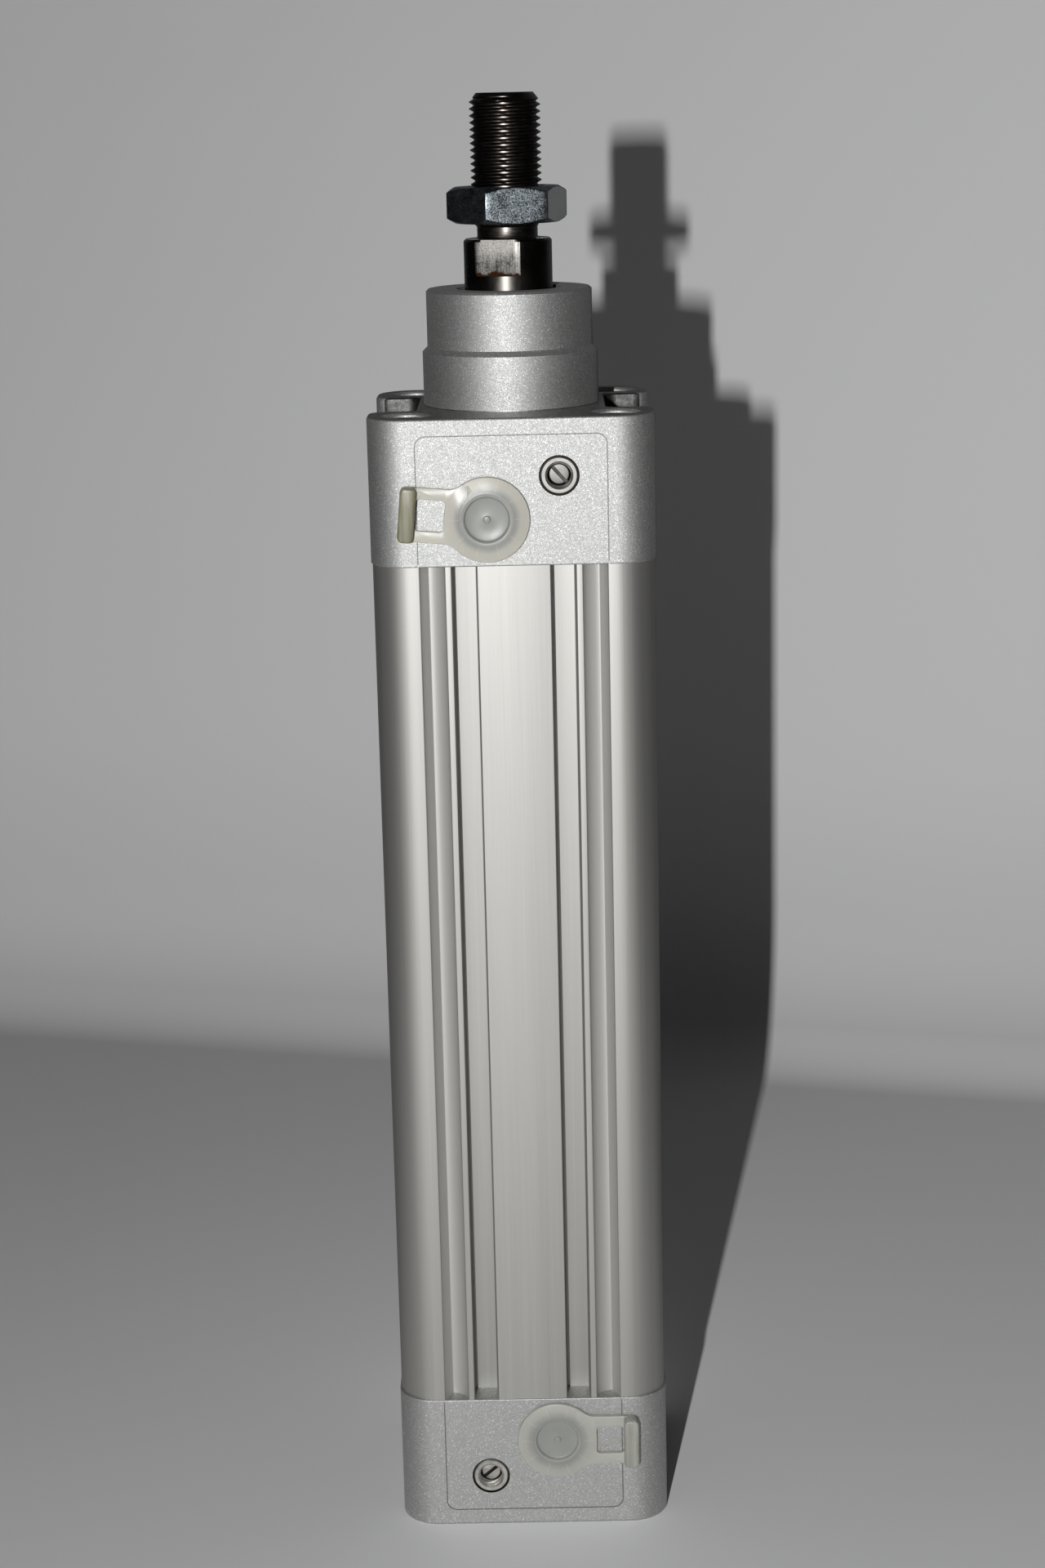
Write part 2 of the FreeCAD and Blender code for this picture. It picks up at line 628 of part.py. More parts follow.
# Piston rod
STUD_Z = CHAMBER_REAR_FLOOR + 7
z_thread = Z_SHOULDER + UNDERCUT_L
undercut_r = THREAD_R - UNDERCUT_IN
rod_points = [
    (0, STUD_Z),
    (STUD_R - 0.8, STUD_Z),
    (STUD_R, STUD_Z + 0.8),
    (STUD_R, Z_PISTON_TOP),
    (ROD_R, Z_PISTON_TOP),
    (ROD_R, Z_SHOULDER - SHOULDER_CHAMFER),
    (ROD_R - SHOULDER_CHAMFER, Z_SHOULDER),
    (undercut_r, Z_SHOULDER),
    (undercut_r, z_thread - 0.3),
]
rod_points += ridges(THREAD_R, THREAD_R - THREAD_DEPTH, z_thread, Z_ROD_END - THREAD_CHAMFER, ROD_PITCH)
rod_points += [(THREAD_R - THREAD_CHAMFER, Z_ROD_END), (0, Z_ROD_END)]
rod = revolve(rod_points)
for side in (-1, 1):
    flat = box(-ROD_R - 1, ROD_R + 1, FLATS_AF / 2, ROD_R + 1, Z_SHOULDER - FLATS_L, Z_SHOULDER + 1)
    if side < 0:
        flat = turned(flat, 180)
    rod = rod.cut(turned(flat, FLATS_TURN))
save("piston_rod", rod)

# Rod nut, with a plain bore that clears the thread's crests
nut_corner_r = NUT_AF / 2 / math.cos(math.pi / 6)
nut_face_r = NUT_AF / 2 - 0.3
nut_top = Z_NUT + NUT_T
nut_bore_r = THREAD_R + RUN_GAP
nut_points = [
    Vector(nut_corner_r * math.cos(i * math.pi / 3), nut_corner_r * math.sin(i * math.pi / 3), Z_NUT)
    for i in range(6)
]
hexagon = Part.Face(Part.makePolygon(nut_points + [nut_points[0]])).extrude(Vector(0, 0, NUT_T))
rounding = revolve([
    (0, Z_NUT),
    (nut_face_r, Z_NUT),
    (nut_corner_r + 0.1, Z_NUT + NUT_CHAMFER),
    (nut_corner_r + 0.1, nut_top - NUT_CHAMFER),
    (nut_face_r, nut_top),
    (0, nut_top),
])
nut_bore = revolve([
    (0, Z_NUT - 0.1),
    (nut_bore_r + NUT_MOUTH + 0.1, Z_NUT - 0.1),
    (nut_bore_r, Z_NUT + NUT_MOUTH),
    (nut_bore_r, nut_top - NUT_MOUTH),
    (nut_bore_r + NUT_MOUTH + 0.1, nut_top + 0.1),
    (0, nut_top + 0.1),
])
save("rod_nut", turned(hexagon.common(rounding).cut(nut_bore), NUT_TURN))

# Piston: two halves clamped on the rod's stud, with magnet, bumpers and seals
Z_MID = Z_PISTON + PISTON_L / 2
MAGNET_Z = (Z_MID - MAGNET_L / 2, Z_MID + MAGNET_L / 2)
MAGNET_R = (PISTON_R - MAGNET_OUT, PISTON_R - MAGNET_OUT - MAGNET_T)
BUMPER_R = (PISTON_R - BUMPER_OUT, PISTON_R - BUMPER_OUT - BUMPER_W)
GUIDE_Z = (Z_MID - GUIDE_L / 2, Z_MID + GUIDE_L / 2)
O_RING_Z = (Z_MID - O_RING_L / 2, Z_MID + O_RING_L / 2)
SEAL_REAR_Z = (Z_PISTON + SEAL_MARGIN, Z_PISTON + SEAL_MARGIN + SEAL_ROOM)
SEAL_FRONT_Z = (Z_PISTON_TOP - SEAL_MARGIN - SEAL_ROOM, Z_PISTON_TOP - SEAL_MARGIN)
GUIDE_FLOOR = PISTON_R - GUIDE_DEPTH
SEAL_FLOOR = PISTON_R - SEAL_DEPTH
magnet = ring(*MAGNET_R, *MAGNET_Z)
rear_bumper = ring(*BUMPER_R, Z_PISTON, Z_PISTON + BUMPER_T)
front_bumper = ring(*BUMPER_R, Z_PISTON_TOP - BUMPER_T, Z_PISTON_TOP)
o_ring = ring(STUD_R + O_RING_W, STUD_R, *O_RING_Z)
piston = ring(PISTON_R, STUD_R, Z_PISTON, Z_PISTON_TOP).cut([
    ring(PISTON_R + 1, GUIDE_FLOOR, *GUIDE_Z),
    ring(PISTON_R + 1, SEAL_FLOOR, *SEAL_REAR_Z),
    ring(PISTON_R + 1, SEAL_FLOOR, *SEAL_FRONT_Z),
    magnet,
    rear_bumper,
    front_bumper,
    o_ring,
])
save("piston_rear", piston.common(cyl(BORE, Z_PISTON - 1, Z_MID)))
save("piston_front", piston.common(cyl(BORE, Z_MID, Z_PISTON_TOP + 1)))
save("piston_magnet", magnet)
save("rear_bumper", rear_bumper)
save("front_bumper", front_bumper)
save("piston_o_ring", o_ring)
guide_low, guide_high = GUIDE_Z
save("piston_guide_ring", ring(
    BORE_R - RUN_GAP, GUIDE_FLOOR + RUN_GAP, guide_low + RUN_GAP, guide_high - RUN_GAP
))


def lip_seal(label, room, open_up):
    """U-section piston seal whose lips open towards the piston's own end."""
    z0 = room[0] + RUN_GAP
    z1 = room[1] - RUN_GAP
    r_in = SEAL_FLOOR + RUN_GAP
    r_out = BORE_R - RUN_GAP
    points = [
        (r_in, z0),
        (r_out - 0.35, z0),
        (r_out, z0 + 0.7 * (z1 - z0)),
        (r_out, z1),
        (r_out - 1.0, z1),
        ((r_in + r_out) / 2, (z0 + z1) / 2),
        (r_in + 1.0, z1),
        (r_in, z1),
    ]
    if not open_up:
        points = [(r, z0 + z1 - z) for r, z in points]
    save(label, revolve(points))


lip_seal("front_piston_seal", SEAL_FRONT_Z, True)
lip_seal("rear_piston_seal", SEAL_REAR_Z, False)

# Cushion spears
spear_top = Z_PISTON_TOP + SPEAR_L
save("front_cushion_spear", revolve([
    (ROD_R, Z_PISTON_TOP),
    (FRONT_SPEAR_R, Z_PISTON_TOP),
    (FRONT_SPEAR_R, spear_top - SPEAR_TAPER_L),
    (FRONT_SPEAR_R - SPEAR_CHAMFER, spear_top),
    (ROD_R, spear_top),
]))
spear_tip = Z_PISTON - SPEAR_L
stud_room = STUD_Z - 0.6
save("rear_cushion_spear", revolve([
    (0, spear_tip),
    (REAR_SPEAR_R - SPEAR_CHAMFER, spear_tip),
    (REAR_SPEAR_R, spear_tip + SPEAR_TAPER_L),
    (REAR_SPEAR_R, Z_PISTON),
    (STUD_R, Z_PISTON),
    (STUD_R, stud_room),
    (0, stud_room),
]))
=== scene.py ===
import json
import math

import bmesh
import bpy
from mathutils import Matrix, Vector

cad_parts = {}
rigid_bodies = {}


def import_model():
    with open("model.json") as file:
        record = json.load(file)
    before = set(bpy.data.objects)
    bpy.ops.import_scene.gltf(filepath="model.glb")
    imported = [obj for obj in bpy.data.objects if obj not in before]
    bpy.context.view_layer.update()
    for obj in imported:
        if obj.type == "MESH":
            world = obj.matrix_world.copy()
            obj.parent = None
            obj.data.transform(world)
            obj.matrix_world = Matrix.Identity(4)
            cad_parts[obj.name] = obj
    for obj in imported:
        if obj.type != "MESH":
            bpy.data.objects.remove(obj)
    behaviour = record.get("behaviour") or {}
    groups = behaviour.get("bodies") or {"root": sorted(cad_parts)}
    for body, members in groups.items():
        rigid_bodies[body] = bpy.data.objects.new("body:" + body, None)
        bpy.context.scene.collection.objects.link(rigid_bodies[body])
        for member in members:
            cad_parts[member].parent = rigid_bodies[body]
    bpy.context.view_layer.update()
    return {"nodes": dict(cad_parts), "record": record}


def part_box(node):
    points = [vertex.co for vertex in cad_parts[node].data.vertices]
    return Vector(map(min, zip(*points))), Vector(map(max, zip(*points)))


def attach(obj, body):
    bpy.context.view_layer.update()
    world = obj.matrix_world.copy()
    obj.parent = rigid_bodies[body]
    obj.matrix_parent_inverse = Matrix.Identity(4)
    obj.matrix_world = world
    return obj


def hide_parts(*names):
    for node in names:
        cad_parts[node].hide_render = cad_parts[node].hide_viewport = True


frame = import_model()
nodes = frame["nodes"]

MM = 0.001
FULL = 2 * math.pi

# Cleaning of new meshes, in mm: points this close are merged, and shorter edges taken out
MERGE_DIST = 0.0005
SHORT_EDGE = 0.0002

# Sizes in mm, in the frame's own axes: +Z along the rod, ports face -Y
# Caps, barrel and screws
HALF = 32.0
Z_TUBE = 32.7
Z_FRONT = 233.3
Z_TOP = 266.0
SCREW_AT = 23.25
SCREW_SUNK = 0.9
BARREL_HALF = 31.7
BARREL_CORNER_R = 9.1
BORE_R = 25.0
SCREW_HOLE_R = 3.0
GROOVE_FOOT = 19.1
GROOVE_R = 3.8
GROOVE_OUT = 20.9

# Ports and cushion needles, as (x, z) on the front face
FRONT_PORT = (-5.65, 243.8)
REAR_PORT = (5.65, 22.2)
FRONT_PLUG_DEG = 185.4
REAR_PLUG_DEG = 0.0
FRONT_NEEDLE = (10.45, 253.15)
REAR_NEEDLE = (-10.45, 12.85)
NEEDLE_TOP = -2.5

# Pull tab of a port plug, measured from the port's axis
BAR_IN = 15.9
BAR_OUT = 19.4
TAB_HALF = 6.1

# Rod and its nut
Z_SHOULDER = 303.0
Z_ROD_END = 335.0
STUD_R = 6.0
Z_STUD_TOP = 65.0
ROD_R = 10.0
THREAD_R = 8.0
THREAD_PITCH = 1.5
UNDERCUT_R = 6.85
UNDERCUT_L = 2.6
FLATS_HALF = 8.5
FLATS_L = 8.0
FLATS_TURN = math.radians(-90 - 15.4)
NUT_Z = 306.5
NUT_T = 8.0
NUT_HALF = 12.0
NUT_TURN = math.radians(-90 + 10.5)
NUT_SIDE_TURN = NUT_TURN + FULL / 6


# Mesh helpers
def link(name, data):
    obj = bpy.data.objects.new(name, data)
    bpy.context.scene.collection.objects.link(obj)
    return obj


def shade(mesh, sharp_deg):
    """Smooth shading, with sharp edges where faces meet at more than the angle."""
    mesh.polygons.foreach_set("use_smooth", [True] * len(mesh.polygons))
    mesh.set_sharp_from_angle(angle=math.radians(sharp_deg))


def to_object(name, bm, sharp_deg=35):
    """Turns a mesh built in mm into a shaded object in metres."""
    bmesh.ops.remove_doubles(bm, verts=bm.verts, dist=MERGE_DIST)
    bmesh.ops.dissolve_degenerate(bm, edges=bm.edges, dist=SHORT_EDGE)
    bmesh.ops.recalc_face_normals(bm, faces=bm.faces)
    mesh = bpy.data.meshes.new(name)
    bm.to_mesh(mesh)
    bm.free()
    mesh.transform(Matrix.Scale(MM, 4))
    shade(mesh, sharp_deg)
    return link(name, mesh)


def circle_angles(count, start=0.0):
    return [start + FULL * i / count for i in range(count)]


def wall(bm, lower, upper):
    """Faces between two closed rings of as many points."""
    n = len(lower)
    for i in range(n):
        j = (i + 1) % n
        bm.faces.new((lower[i], lower[j], upper[j], upper[i]))


def fan(bm, ring, z):
    """Closes a ring with triangles to a point on the Z axis."""
    centre = bm.verts.new((0, 0, z))
    n = len(ring)
    for i in range(n):
        bm.faces.new((ring[i], ring[(i + 1) % n], centre))


def turned_surface(bm, rows, angles, close_start=True, close_end=True):
    """Skin of rings round Z. A row is (z, radius) or (z, function of angle)."""
    rings = []
    for z, radius in rows:
        ring = []
        for a in angles:
            r = radius(a) if callable(radius) else radius
            ring.append(bm.verts.new((r * math.cos(a), r * math.sin(a), z)))
        rings.append(ring)
    for lower, upper in zip(rings, rings[1:]):
        wall(bm, lower, upper)
    if close_start:
        fan(bm, rings[0], rows[0][0])
    if close_end:
        fan(bm, rings[-1], rows[-1][0])
    return rings


def turned_tube(bm, rows, angles):
    """Skin of rings that closes on itself, for a ring-shaped piece."""
    rings = turned_surface(bm, rows, angles, False, False)
    wall(bm, rings[-1], rings[0])


def prism(bm, outline, z0, z1):
    """Closed prism over an outline in X and Y."""
    lower = [bm.verts.new((px, py, z0)) for px, py in outline]
    upper = [bm.verts.new((px, py, z1)) for px, py in outline]
    bm.faces.new(lower)
    bm.faces.new(upper)
    wall(bm, lower, upper)


def rounded_rect(x0, x1, y0, y1, r):
    steps = 5
    points = []
    centres = [(x1 - r, y1 - r, 0), (x0 + r, y1 - r, 90), (x0 + r, y0 + r, 180), (x1 - r, y0 + r, 270)]
    for cx, cy, start_deg in centres:
        for i in range(steps + 1):
            a = math.radians(start_deg + 90 * i / steps)
            points.append((cx + r * math.cos(a), cy + r * math.sin(a)))
    return points


def apply_modifiers(obj):
    graph = bpy.context.evaluated_depsgraph_get()
    mesh = bpy.data.meshes.new_from_object(obj.evaluated_get(graph))
    old = obj.data
    obj.modifiers.clear()
    obj.data = mesh
    bpy.data.meshes.remove(old)


def boolean(obj, other, operation):
    """Cuts or joins another object, which is used up."""
    mod = obj.modifiers.new("cut", "BOOLEAN")
    mod.object = other
    mod.operation = operation
    mod.solver = "EXACT"
    apply_modifiers(obj)
    bpy.data.objects.remove(other)


def bevelled(obj, width, segments, angle_deg, sharp_deg):
    mod = obj.modifiers.new("edges", "BEVEL")
    mod.width = width * MM
    mod.segments = segments
    mod.limit_method = "ANGLE"
    mod.angle_limit = math.radians(angle_deg)
    mod.harden_normals = False
    mod.use_clamp_overlap = True
    apply_modifiers(obj)
    shade(obj.data, sharp_deg)


def facing_front(obj, x, z, turn_deg=0.0):
    """Stands a piece made round +Z on the front face, its top towards -Y."""
    place = Matrix.Translation(Vector((x, -HALF, z)) * MM)
    tilt = Matrix.Rotation(math.radians(turn_deg), 4, "Y")
    upright = Matrix.Rotation(math.radians(90), 4, "X")
    obj.data.transform(place @ tilt @ upright)
    return obj


def thread_radius(z, angle, r_crest, depth, pitch):
    """Radius of a V thread with flat crests and roots, whose turns climb as the angle grows."""
    half_crest = 0.0625
    flank = 0.34
    phase = (z / pitch - angle / FULL) % 1.0
    from_crest = abs(phase - 0.5)
    t = min(1.0, max(0.0, (from_crest - half_crest) / flank))
    return r_crest - depth * t


def make_rod():
    """Piston rod: stud, shaft, shoulder with two flats, undercut and thread."""
    z_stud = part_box("piston_rod")[0].z / MM
    stud_edge = 0.8
    shaft_edge = 0.3
    shoulder_edge = 0.5
    thread_depth = 0.92
    start_slope = 0.9
    end_slope = 0.8
    end_chamfer = 1.6
    rows_per_turn = 12
    corner = math.acos(FLATS_HALF / ROD_R)
    flat_ends = []
    for side in (0.0, math.pi):
        flat_ends += [FLATS_TURN + side - corner, FLATS_TURN + side + corner]
    angles = sorted({round(a % FULL, 6) for a in circle_angles(144) + flat_ends})

    def shoulder(limit):
        def radius(a):
            c = abs(math.cos(a - FLATS_TURN))
            return min(limit, FLATS_HALF / c) if c > 0.2 else limit
        return radius

    z_flat = Z_SHOULDER - FLATS_L
    z_thread = Z_SHOULDER + UNDERCUT_L
    rows = [(z_stud, STUD_R - stud_edge), (z_stud + stud_edge, STUD_R), (Z_STUD_TOP, STUD_R)]
    rows += [(Z_STUD_TOP, ROD_R - shaft_edge), (Z_STUD_TOP + shaft_edge, ROD_R)]
    # Faint step where the shoulder begins
    rows += [(z_flat - 0.25, ROD_R), (z_flat, ROD_R - 0.03), (z_flat, shoulder(ROD_R))]
    rows += [(Z_SHOULDER - shoulder_edge, shoulder(ROD_R)), (Z_SHOULDER, shoulder(ROD_R - shoulder_edge))]
    # Rounded foot of the undercut
    rows += [(Z_SHOULDER, UNDERCUT_R + 0.5), (Z_SHOULDER + 0.15, UNDERCUT_R + 0.2)]
    rows += [(Z_SHOULDER + 0.5, UNDERCUT_R), (z_thread, UNDERCUT_R)]

    def thread_row(z):
        start_cone = UNDERCUT_R + (z - z_thread) * start_slope
        end_cone = THREAD_R - end_chamfer + (Z_ROD_END - z) * end_slope
        limit = min(start_cone, end_cone)

        def radius(a):
            return min(limit, thread_radius(z, a, THREAD_R, thread_depth, THREAD_PITCH))
        return radius

    count = int((Z_ROD_END - z_thread) / THREAD_PITCH * rows_per_turn)
    for i in range(1, count + 1):
        z = z_thread + (Z_ROD_END - z_thread) * i / count
        rows.append((z, thread_row(z)))
    bm = bmesh.new()
    turned_surface(bm, rows, angles)
    return to_object("rod_with_thread", bm, 32)


def make_nut():
    """Rod nut: hexagon chamfered at both ends, with a threaded bore."""
    per_side = 20
    chamfer_rows = 8
    bore_rows = 72
    angles = circle_angles(6 * per_side, NUT_TURN)
    corner_r = NUT_HALF / math.cos(math.radians(30))
    corner_cut = 0.1
    face_r = NUT_HALF - 0.25
    slope = math.tan(math.radians(60))
    top = NUT_Z + NUT_T

    def hexagon(limit):
        def radius(a):
            phi = (a - NUT_TURN + math.pi / 6) % (math.pi / 3) - math.pi / 6
            return min(NUT_HALF / math.cos(phi), corner_r - corner_cut, limit)
        return radius

    rows = []
    for i in range(chamfer_rows + 1):
        r = face_r + (corner_r - face_r) * i / chamfer_rows
        rows.append((NUT_Z + (r - face_r) / slope, hexagon(r)))
    rows += [(NUT_Z + top - z, r) for z, r in reversed(rows)]

    bore_r = THREAD_R + 0.02
    thread_depth = 0.8
    mouth = 0.9

    def bore_row(z):
        from_end = min(z - NUT_Z, top - z)
        limit = bore_r + mouth - from_end

        def radius(a):
            return max(limit, thread_radius(z, a, bore_r + thread_depth, thread_depth, THREAD_PITCH))
        return radius

    rows.append((top, bore_r + mouth))
    for i in range(1, bore_rows):
        z = NUT_Z + NUT_T * (1 - i / bore_rows)
        rows.append((z, bore_row(z)))
    rows.append((NUT_Z, bore_r + mouth))
    bm = bmesh.new()
    turned_tube(bm, rows, angles)
    return to_object("nut_with_thread", bm, 28)


def make_screw(name, x, y, z_head, toward):
    """Cap screw: round head with a tapped hole. toward is +1 where the shank runs to +Z."""
    head_r = 5.0
    head_l = 18.0
    head_edge = 0.3
    shank_r = SCREW_HOLE_R
    shank_end = 51.8
    shank_edge = 0.8
    foot = 0.4
    tap_r = 4.05
    tap_pitch = 1.25
    tap_depth = 0.66
    tap_l = 16.0
    tap_rows = 150
    drill_r = 2.9
    drill_tip = 1.6
    mouth = tap_r + 0.45
    angles = circle_angles(72)
    rows = [(0.0, mouth), (0.0, head_r - head_edge), (head_edge, head_r), (head_l - head_edge, head_r)]
    rows += [(head_l, head_r - head_edge), (head_l, shank_r + foot), (head_l + foot, shank_r)]
    rows += [(shank_end - shank_edge, shank_r), (shank_end, shank_r - shank_edge)]
    bm = bmesh.new()
    turned_surface(bm, rows, angles, False, True)

    def tap_row(depth):
        def radius(a):
            thread = thread_radius(-depth, a, tap_r, tap_depth, tap_pitch)
            return min(max(thread, mouth - depth), mouth)
        return radius

    inner = []
    for i in range(tap_rows + 1):
        depth = tap_l * i / tap_rows
        inner.append((depth, tap_row(depth)))
    inner += [(tap_l, drill_r), (tap_l + drill_tip, 0.02)]
    turned_surface(bm, inner, angles, False, True)
    if toward < 0:
        bmesh.ops.scale(bm, vec=(1, -1, -1), verts=bm.verts)
    bmesh.ops.translate(bm, vec=(x, y, z_head), verts=bm.verts)
    return to_object(name, bm, 30)


def make_bush(label, x, z):
    """Needle bush: a sleeve with a fine thread inside."""
    outer_r = 4.1
    bore_r = 2.62
    length = 10.0
    thread_depth = 0.28
    thread_pitch = 0.5
    thread_rows = 80
    rows = [(-length, bore_r), (-length, outer_r - 0.2), (-length + 0.2, outer_r), (-0.25, outer_r)]
    rows += [(0.0, outer_r - 0.25), (0.0, bore_r + 0.5), (-0.35, bore_r + 0.15)]

    def thread_row(height):
        def radius(a):
            return thread_radius(height, a, bore_r + thread_depth, thread_depth, thread_pitch)
        return radius

    for i in range(thread_rows):
        height = -0.4 - 9.4 * i / thread_rows
        rows.append((height, thread_row(height)))
    bm = bmesh.new()
    turned_tube(bm, rows, circle_angles(72))
    return facing_front(to_object(label + "_needle_bush_turned", bm, 30), x, z)


def make_needle(label, x, z, slot_deg):
    """Cushion needle: a pin with a rounded, slotted head."""
    head_r = 2.55
    pin_r = 1.6
    slot_w = 0.8
    slot_depth = 0.9
    cutter_h = 2.0
    rows = [(-13.6, 0.4), (-12.0, pin_r), (-9.2, pin_r), (-9.2, head_r - 0.25), (-9.0, head_r)]
    rows += [(NEEDLE_TOP - 0.45, head_r), (NEEDLE_TOP - 0.15, 2.22)]
    rows += [(NEEDLE_TOP - 0.03, 2.1), (NEEDLE_TOP, 1.95)]
    bm = bmesh.new()
    turned_surface(bm, rows, circle_angles(72))
    needle = to_object(label + "_needle_turned", bm, 30)
    bm = bmesh.new()
    bmesh.ops.create_cube(bm, size=1.0)
    bmesh.ops.scale(bm, vec=(6.0, slot_w, cutter_h), verts=bm.verts)
    bmesh.ops.translate(bm, vec=(0, 0, NEEDLE_TOP - slot_depth + cutter_h / 2), verts=bm.verts)
    bmesh.ops.rotate(bm, matrix=Matrix.Rotation(math.radians(slot_deg), 3, "Z"), verts=bm.verts)
    boolean(needle, to_object("slot_cutter", bm), "DIFFERENCE")
    bevelled(needle, 0.05, 1, 40, 30)
    return facing_front(needle, x, z)


def plug_rows():
    """Profile of a port plug: its stem's hollow, the ribbed outside, the rim and the dished disc."""
    flange_r = 9.55
    thick = 1.15
    base = 0.02
    stem_r = 5.6
    rib_pitch = 1.9
    edge_r = 0.3
    edge_steps = 6
    rows = [(-0.9, 0.02), (-0.9, 4.2), (-1.3, 4.5), (-7.8, 4.7), (-8.0, 4.9), (-8.0, 5.3), (-7.6, 5.5)]
    for i in range(3):
        z_rib = -6.6 + rib_pitch * i
        rows += [(z_rib, stem_r - 0.12), (z_rib + 0.25, stem_r + 0.06), (z_rib + 0.5, stem_r - 0.12)]
    rows += [(-0.4, stem_r), (base, stem_r + 0.1), (base, flange_r - edge_r)]
    for i in range(edge_steps + 1):
        a = math.radians(-90 + 180 * i / edge_steps)
        height = base + thick / 2 + (thick / 2) * math.sin(a)
        rows.append((height, flange_r - edge_r + edge_r * math.cos(a)))
    rim = base + thick
    rows += [(rim, 6.6), (rim + 0.12, 6.2), (rim + 0.18, 5.7), (rim + 0.12, 5.25), (rim - 0.15, 5.0)]
    rows += [(0.42, 4.8), (0.3, 4.5), (0.25, 1.1), (0.3, 0.85), (0.62, 0.7), (0.7, 0.45), (0.7, 0.02)]
    return rows


def arms_outline():
    """Outline of the tab's two arms, which flare out to meet the flange."""
    flare_steps = 6
    arms_end = 17.1
    half = [(4.5, 7.3), (5.9, 7.3)]
    for i in range(flare_steps + 1):
        t = i / flare_steps
        half.append((6.2 + 2.9 * t, TAB_HALF + 1.15 * (1 - t) ** 2))
    ends = [(arms_end, TAB_HALF), (arms_end, -TAB_HALF)]
    return half + ends + [(px, -py) for px, py in reversed(half)]


def make_plug(name, x, z, turn_deg):
    """Port plug: flanged stem with a dished disc, and a tab with a window and a pull bar."""
    window_in = 9.4
    window_half = 3.5
    middle_r = 6.0
    tab_foot = 0.1
    arms_top = 1.2
    bar_top = 4.0
    cut_from = -1.0
    cut_to = 3.0
    angles = circle_angles(128)
    bm = bmesh.new()
    turned_surface(bm, plug_rows(), angles)
    disc = to_object(name, bm, 40)

    bm = bmesh.new()
    prism(bm, arms_outline(), tab_foot, arms_top)
    arms = to_object("arms", bm)
    bm = bmesh.new()
    prism(bm, rounded_rect(window_in, BAR_IN, -window_half, window_half, 0.9), cut_from, cut_to)
    boolean(arms, to_object("window_cutter", bm), "DIFFERENCE")
    bevelled(arms, 0.18, 2, 50, 35)

    bm = bmesh.new()
    prism(bm, rounded_rect(BAR_IN, BAR_OUT, -TAB_HALF, TAB_HALF, 1.2), tab_foot, bar_top)
    bar = to_object("bar", bm)
    bevelled(bar, 0.55, 3, 50, 35)
    boolean(arms, bar, "UNION")

    bm = bmesh.new()
    turned_surface(bm, [(cut_from, middle_r), (cut_to, middle_r)], angles)
    boolean(arms, to_object("middle_cutter", bm), "DIFFERENCE")
    boolean(disc, arms, "UNION")
    shade(disc.data, 35)
    return facing_front(disc, x, z, turn_deg)


def half_side():
    """Points from the middle of a side to its corner, as (along the side, depth below it)."""
    slot_in = 8.175
    slot_out = 13.825
    lip = 1.8
    hollow = 0.65
    hollow_floor = 4.6
    slot_floor = 6.2
    foot = 0.3
    points = [(slot_in, 0), (slot_in, lip), (slot_in - hollow, lip), (slot_in - hollow, hollow_floor)]
    points += [(slot_in + foot, slot_floor), (slot_out - foot, slot_floor)]
    points += [(slot_out + hollow, hollow_floor), (slot_out + hollow, lip), (slot_out, lip), (slot_out, 0)]
    groove_steps = 12
    for i in range(groove_steps + 1):
        a = math.radians(90 * i / groove_steps)
        points.append((GROOVE_FOOT - GROOVE_R * math.cos(a), GROOVE_R * math.sin(a)))
    return points + [(GROOVE_OUT, 0)]


def softened(points, reach):
    """Cuts the tip of each sharp corner with a small curve."""
    nearly_straight = math.radians(155)
    edge_share = 0.4
    out = []
    n = len(points)
    for i, p in enumerate(points):
        before = Vector(points[i - 1]) - Vector(p)
        after = Vector(points[(i + 1) % n]) - Vector(p)
        if before.angle(after) > nearly_straight:
            out.append(p)
            continue
        cut = min(reach, edge_share * before.length, edge_share * after.length)
        a = Vector(p) + before.normalized() * cut
        b = Vector(p) + after.normalized() * cut
        for t in (0.0, 0.25, 0.5, 0.75, 1.0):
            q = a * (1 - t) ** 2 + Vector(p) * 2 * t * (1 - t) + b * t ** 2
            out.append((q.x, q.y))
    return out


def barrel_outline():
    """Outline of the barrel: four like sides joined by round corners."""
    corner_steps = 24
    right = half_side()
    left = [(-u, d) for u, d in reversed(right)]
    side = [(u, d - BARREL_HALF) for u, d in left + right]
    corner = BARREL_HALF - BARREL_CORNER_R
    for i in range(corner_steps + 1):
        a = math.radians(-90 + 90 * i / corner_steps)
        side.append((corner + BARREL_CORNER_R * math.cos(a), -corner + BARREL_CORNER_R * math.sin(a)))
    outline = []
    for quarter in range(4):
        cos = math.cos(math.radians(90 * quarter))
        sin = math.sin(math.radians(90 * quarter))
        outline += [(u * cos - v * sin, u * sin + v * cos) for u, v in side]
    return softened(outline, 0.22)


def circle(r, count, x=0.0, y=0.0):
    return [(x + r * math.cos(a), y + r * math.sin(a)) for a in circle_angles(count)]


def make_barrel():
    """Barrel: one profile, with its bore and four screw holes, drawn out between the caps."""
    loops = [barrel_outline(), circle(BORE_R, 144)]
    for sx in (-1, 1):
        for sy in (-1, 1):
            loops.append(circle(SCREW_HOLE_R, 32, sx * SCREW_AT, sy * SCREW_AT))
    bm = bmesh.new()
    end_edges = {Z_TUBE: [], Z_FRONT: []}
    for loop in loops:
        rings = {z: [bm.verts.new((px, py, z)) for px, py in loop] for z in end_edges}
        wall(bm, rings[Z_TUBE], rings[Z_FRONT])
        n = len(loop)
        for z, ring in rings.items():
            end_edges[z] += [bm.edges.get((ring[i], ring[(i + 1) % n])) for i in range(n)]
    for edges in end_edges.values():
        bmesh.ops.triangle_fill(bm, use_beauty=True, edges=edges)
    return to_object("profile_barrel", bm, 32)


